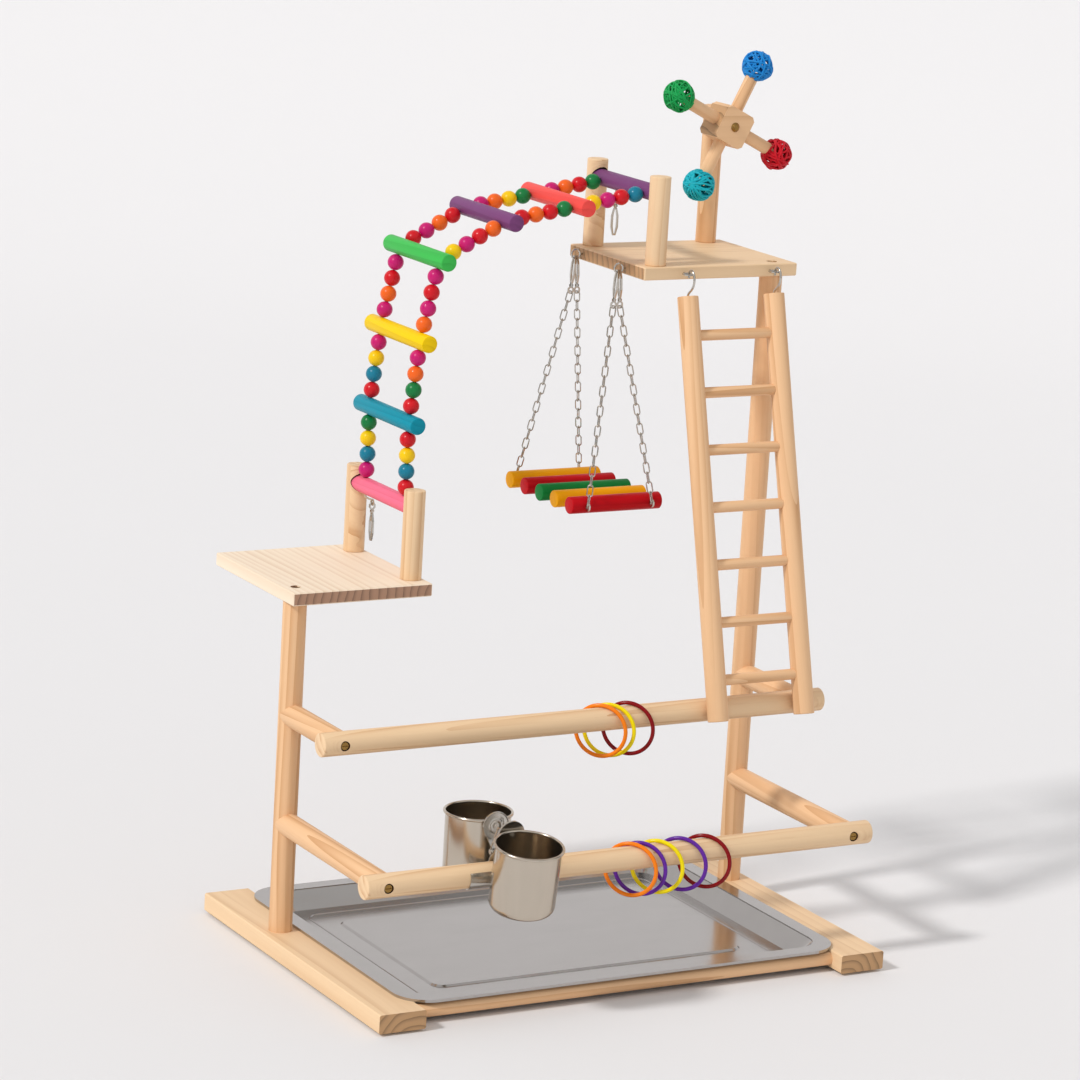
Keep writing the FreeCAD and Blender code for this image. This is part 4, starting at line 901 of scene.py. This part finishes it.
class OBJECT_OT_stand_cups(StandOperator):
    """Two drinking cups on a double spring clip"""

    bl_idname = "stand.cups"
    bl_label = "Cups"

    def execute(self, context):
        for node in ("lever_rear", "lever_front", "clip_spring_front", "clip_spring_rear"):
            dress(node, nickel())
        for node, body in (("cup_rear", "cup_clip"), ("cup_front", "cup_clip_front")):
            self.cup(node, body)
        return {"FINISHED"}

    @staticmethod
    def cup(node, body):
        """Turns a smooth cup; it leans about X by the angle at which the CAD cup is least high."""
        points = np.concatenate(solids(node))
        leans = [Matrix.Rotation(math.radians(i / 4), 3, "X") @ Z for i in range(-60, 61)]
        up = min(leans, key=lambda way: np.ptp(points @ np.array(way)))
        middle = Vector((0, 0, 0))
        for way in (X, up, up.cross(X)):
            reach = points @ np.array(way)
            middle += way * float(reach.max() + reach.min()) / 2
        high = float(np.ptp(points @ np.array(up))) / 2
        rim = float(np.ptp(points[:, 0])) / 2
        bead, wall, foot, overhang = 1.4 * MM, 0.8 * MM, 8 * MM, 2.24 * MM
        flat = rim - overhang - foot
        inside = foot - wall
        profile = [(0, -high)]
        for t in arc(0, 90, 8):
            profile.append((flat + foot * math.sin(t), -high + foot - foot * math.cos(t)))
        for t in arc(-125, 200, 12):
            profile.append((rim - bead + bead * math.cos(t), high - bead + bead * math.sin(t)))
        for t in arc(90, 0, 8):
            profile.append((flat + inside * math.sin(t), -high + foot - inside * math.cos(t)))
        profile.append((0, -high + wall))
        bm = turned(profile, 96)
        bmesh.ops.transform(bm, matrix=Matrix.Translation(middle) @ turn_to(up), verts=bm.verts)
        finish_piece(node + "_turned", bm, body, steel(), [node])


class OBJECT_OT_stand_hardware(StandOperator):
    """Screws, eyes and loose hooks"""

    bl_idname = "stand.hardware"
    bl_label = "Hardware"

    def execute(self, context):
        for node in ("screw_eyes", "bridge_hook_lower", "bridge_hook_upper"):
            dress(node, nickel())
        dress("screws", metal("screw_metal", srgb("A07C44"), 0.3))
        return {"FINISHED"}


# ------------------------------------------------------------------ stage

# Fitted to about fifty points of the photograph.
CAMERA_AT = Vector((-1.91223, -3.23429, 1.2424))
CAMERA_RIGHT = Vector((0.8725, -0.4855, 0.0570))
CAMERA_UP = Vector((0.0594, 0.2211, 0.9735))
CAMERA_BACK = Vector((-0.4852, -0.8459, 0.2217))


class OBJECT_OT_stand_stage(StandOperator):
    """Pale floor and backdrop, lamp, soft light and camera"""

    bl_idname = "stand.stage"
    bl_label = "Stage"

    def execute(self, context):
        light = context.scene.stand_light
        self.floor(light)
        self.cards(context)
        self.lamp(context, light)
        self.surroundings(context, light)
        self.camera(context)
        context.scene.view_settings.view_transform = "Standard"
        return {"FINISHED"}

    @staticmethod
    def floor(light):
        """A sheet that lies under the stand and sweeps up behind it."""
        front, back, bend, top, half_wide, under = -12, 3.0, 2.0, 8.0, 9, 0.0001
        profile = [(front, 0), (back, 0)]
        for t in arc(0, 90, 12)[1:]:
            profile.append((back + bend * math.sin(t), bend - bend * math.cos(t)))
        profile.append((back + bend, top))
        forward = Vector((-CAMERA_BACK.x, -CAMERA_BACK.y, 0)).normalized()
        side = forward.cross(Z)
        bm = bmesh.new()
        verts = [bm.verts.new(forward * d + Z * (h - under) - side * half_wide) for d, h in profile]
        edges = [bm.edges.new(pair) for pair in zip(verts, verts[1:])]
        made = bmesh.ops.extrude_edge_only(bm, edges=edges)
        moved = [v for v in made["geom"] if isinstance(v, bmesh.types.BMVert)]
        bmesh.ops.translate(bm, verts=moved, vec=side * 2 * half_wide)
        bmesh.ops.recalc_face_normals(bm, faces=bm.faces)
        mesh = bpy.data.meshes.new("backdrop")
        bm.to_mesh(mesh)
        bm.free()
        mesh.polygons.foreach_set("use_smooth", [True] * len(mesh.polygons))
        sweep = bpy.data.objects.new("backdrop", mesh)
        bpy.context.scene.collection.objects.link(sweep)
        tree = Tree("backdrop_paper")
        place = tree.add("ShaderNodeTexCoord")
        base = light.backdrop[:]
        drift = tree.noise(place.outputs["Object"], 0.8, 1.0)
        tree.feed(Base_Color=tree.mix(drift, scaled(base, 0.985), base))
        tree.set(Roughness=0.9)
        mesh.materials.append(tree.material)

    @staticmethod
    def cards(context):
        """Dark cards out of sight, for the metal to mirror."""
        dark = Tree("card")
        dark.set(Base_Color=(0.02, 0.02, 0.02), Roughness=0.9)
        for name, at, wide, high in (
            ("card_right", (2.6, -0.9, 0.7), 1.3, 3.0), ("card_left", (-2.6, 0.6, 0.8), 0.9, 3.0),
            ("card_front", (0.5, -4.6, 0.3), 1.5, 1.6), ("card_top", (0.2, 0.6, 3.2), 1.4, 1.0),
        ):
            bm = bmesh.new()
            bmesh.ops.create_grid(bm, x_segments=1, y_segments=1, size=0.5)
            bmesh.ops.scale(bm, vec=(wide, high, 1), verts=bm.verts)
            way = -Vector(at).normalized()
            turn = turn_to(way, way.cross(Z).normalized())
            bmesh.ops.transform(bm, matrix=Matrix.Translation(at) @ turn, verts=bm.verts)
            mesh = bpy.data.meshes.new(name)
            bm.to_mesh(mesh)
            bm.free()
            mesh.materials.append(dark.material)
            card = bpy.data.objects.new(name, mesh)
            card.visible_camera = False
            card.visible_diffuse = False
            card.visible_shadow = False
            context.scene.collection.objects.link(card)

    @staticmethod
    def lamp(context, light):
        """The main lamp, high on the left."""
        key = bpy.data.lights.new("key", "SUN")
        key.energy = light.key
        key.angle = math.radians(7)
        key.color = (1.0, 0.985, 0.97)
        lamp = bpy.data.objects.new("key", key)
        way = Vector((0.80, 0.10, -0.72))
        lamp.rotation_euler = way.to_track_quat("-Z", "Y").to_euler()
        context.scene.collection.objects.link(lamp)

    @staticmethod
    def surroundings(context, light):
        """Soft white light from all round, seen by the camera as more of the backdrop."""
        world = bpy.data.worlds.new("soft_light")
        world.use_nodes = True
        nodes = world.node_tree.nodes
        links = world.node_tree.links
        lit = nodes["Background"]
        lit.inputs["Color"].default_value = (1, 1, 1, 1)
        lit.inputs["Strength"].default_value = light.sky
        seen = nodes.new("ShaderNodeBackground")
        seen.inputs["Color"].default_value = (*light.backdrop, 1)
        seen.inputs["Strength"].default_value = 1.05
        path = nodes.new("ShaderNodeLightPath")
        either = nodes.new("ShaderNodeMixShader")
        links.new(path.outputs["Is Camera Ray"], either.inputs[0])
        links.new(lit.outputs[0], either.inputs[1])
        links.new(seen.outputs[0], either.inputs[2])
        links.new(either.outputs[0], nodes["World Output"].inputs["Surface"])
        context.scene.world = world

    @staticmethod
    def camera(context):
        """The camera at the photograph's viewing angle."""
        data = bpy.data.cameras.new("camera")
        data.sensor_fit = "HORIZONTAL"
        data.sensor_width = 36.0
        data.lens = 138.47
        data.clip_start = 0.1
        data.clip_end = 60
        camera = bpy.data.objects.new("camera", data)
        turn = Matrix((CAMERA_RIGHT, CAMERA_UP, CAMERA_BACK)).transposed().to_4x4()
        camera.matrix_world = Matrix.Translation(CAMERA_AT) @ turn
        context.scene.collection.objects.link(camera)
        context.scene.camera = camera


class VIEW3D_PT_stand(bpy.types.Panel):
    """Lists the pieces and their settings"""

    bl_label = "Play stand"
    bl_space_type = "VIEW_3D"
    bl_region_type = "UI"
    bl_category = "Play stand"

    def draw(self, context):
        column = self.layout.column()
        for piece in PIECES:
            column.operator(piece.bl_idname)
        for group in (context.scene.stand_finish, context.scene.stand_sizes, context.scene.stand_light):
            for key in group.bl_rna.properties.keys():
                if key not in ("rna_type", "name"):
                    column.prop(group, key)


PIECES = (
    OBJECT_OT_stand_stage,
    OBJECT_OT_stand_timber,
    OBJECT_OT_stand_tray,
    OBJECT_OT_stand_bridge,
    OBJECT_OT_stand_swing,
    OBJECT_OT_stand_wheel,
    OBJECT_OT_stand_ladder,
    OBJECT_OT_stand_rings,
    OBJECT_OT_stand_cups,
    OBJECT_OT_stand_hardware,
)
GROUPS = {"stand_finish": StandFinish, "stand_sizes": StandSizes, "stand_light": StandLight}
CLASSES = (*GROUPS.values(), *PIECES, VIEW3D_PT_stand)


def register():
    """Adds the classes and the scene's settings."""
    for cls in CLASSES:
        bpy.utils.register_class(cls)
    for name, group in GROUPS.items():
        setattr(bpy.types.Scene, name, bpy.props.PointerProperty(type=group))


def unregister():
    """Takes them away again."""
    for name in GROUPS:
        delattr(bpy.types.Scene, name)
    for cls in reversed(CLASSES):
        bpy.utils.unregister_class(cls)


def main():
    """Runs every operator in order."""
    register()
    for piece in PIECES:
        group, name = piece.bl_idname.split(".")
        getattr(getattr(bpy.ops, group), name)()


if __name__ == "__main__":
    main()
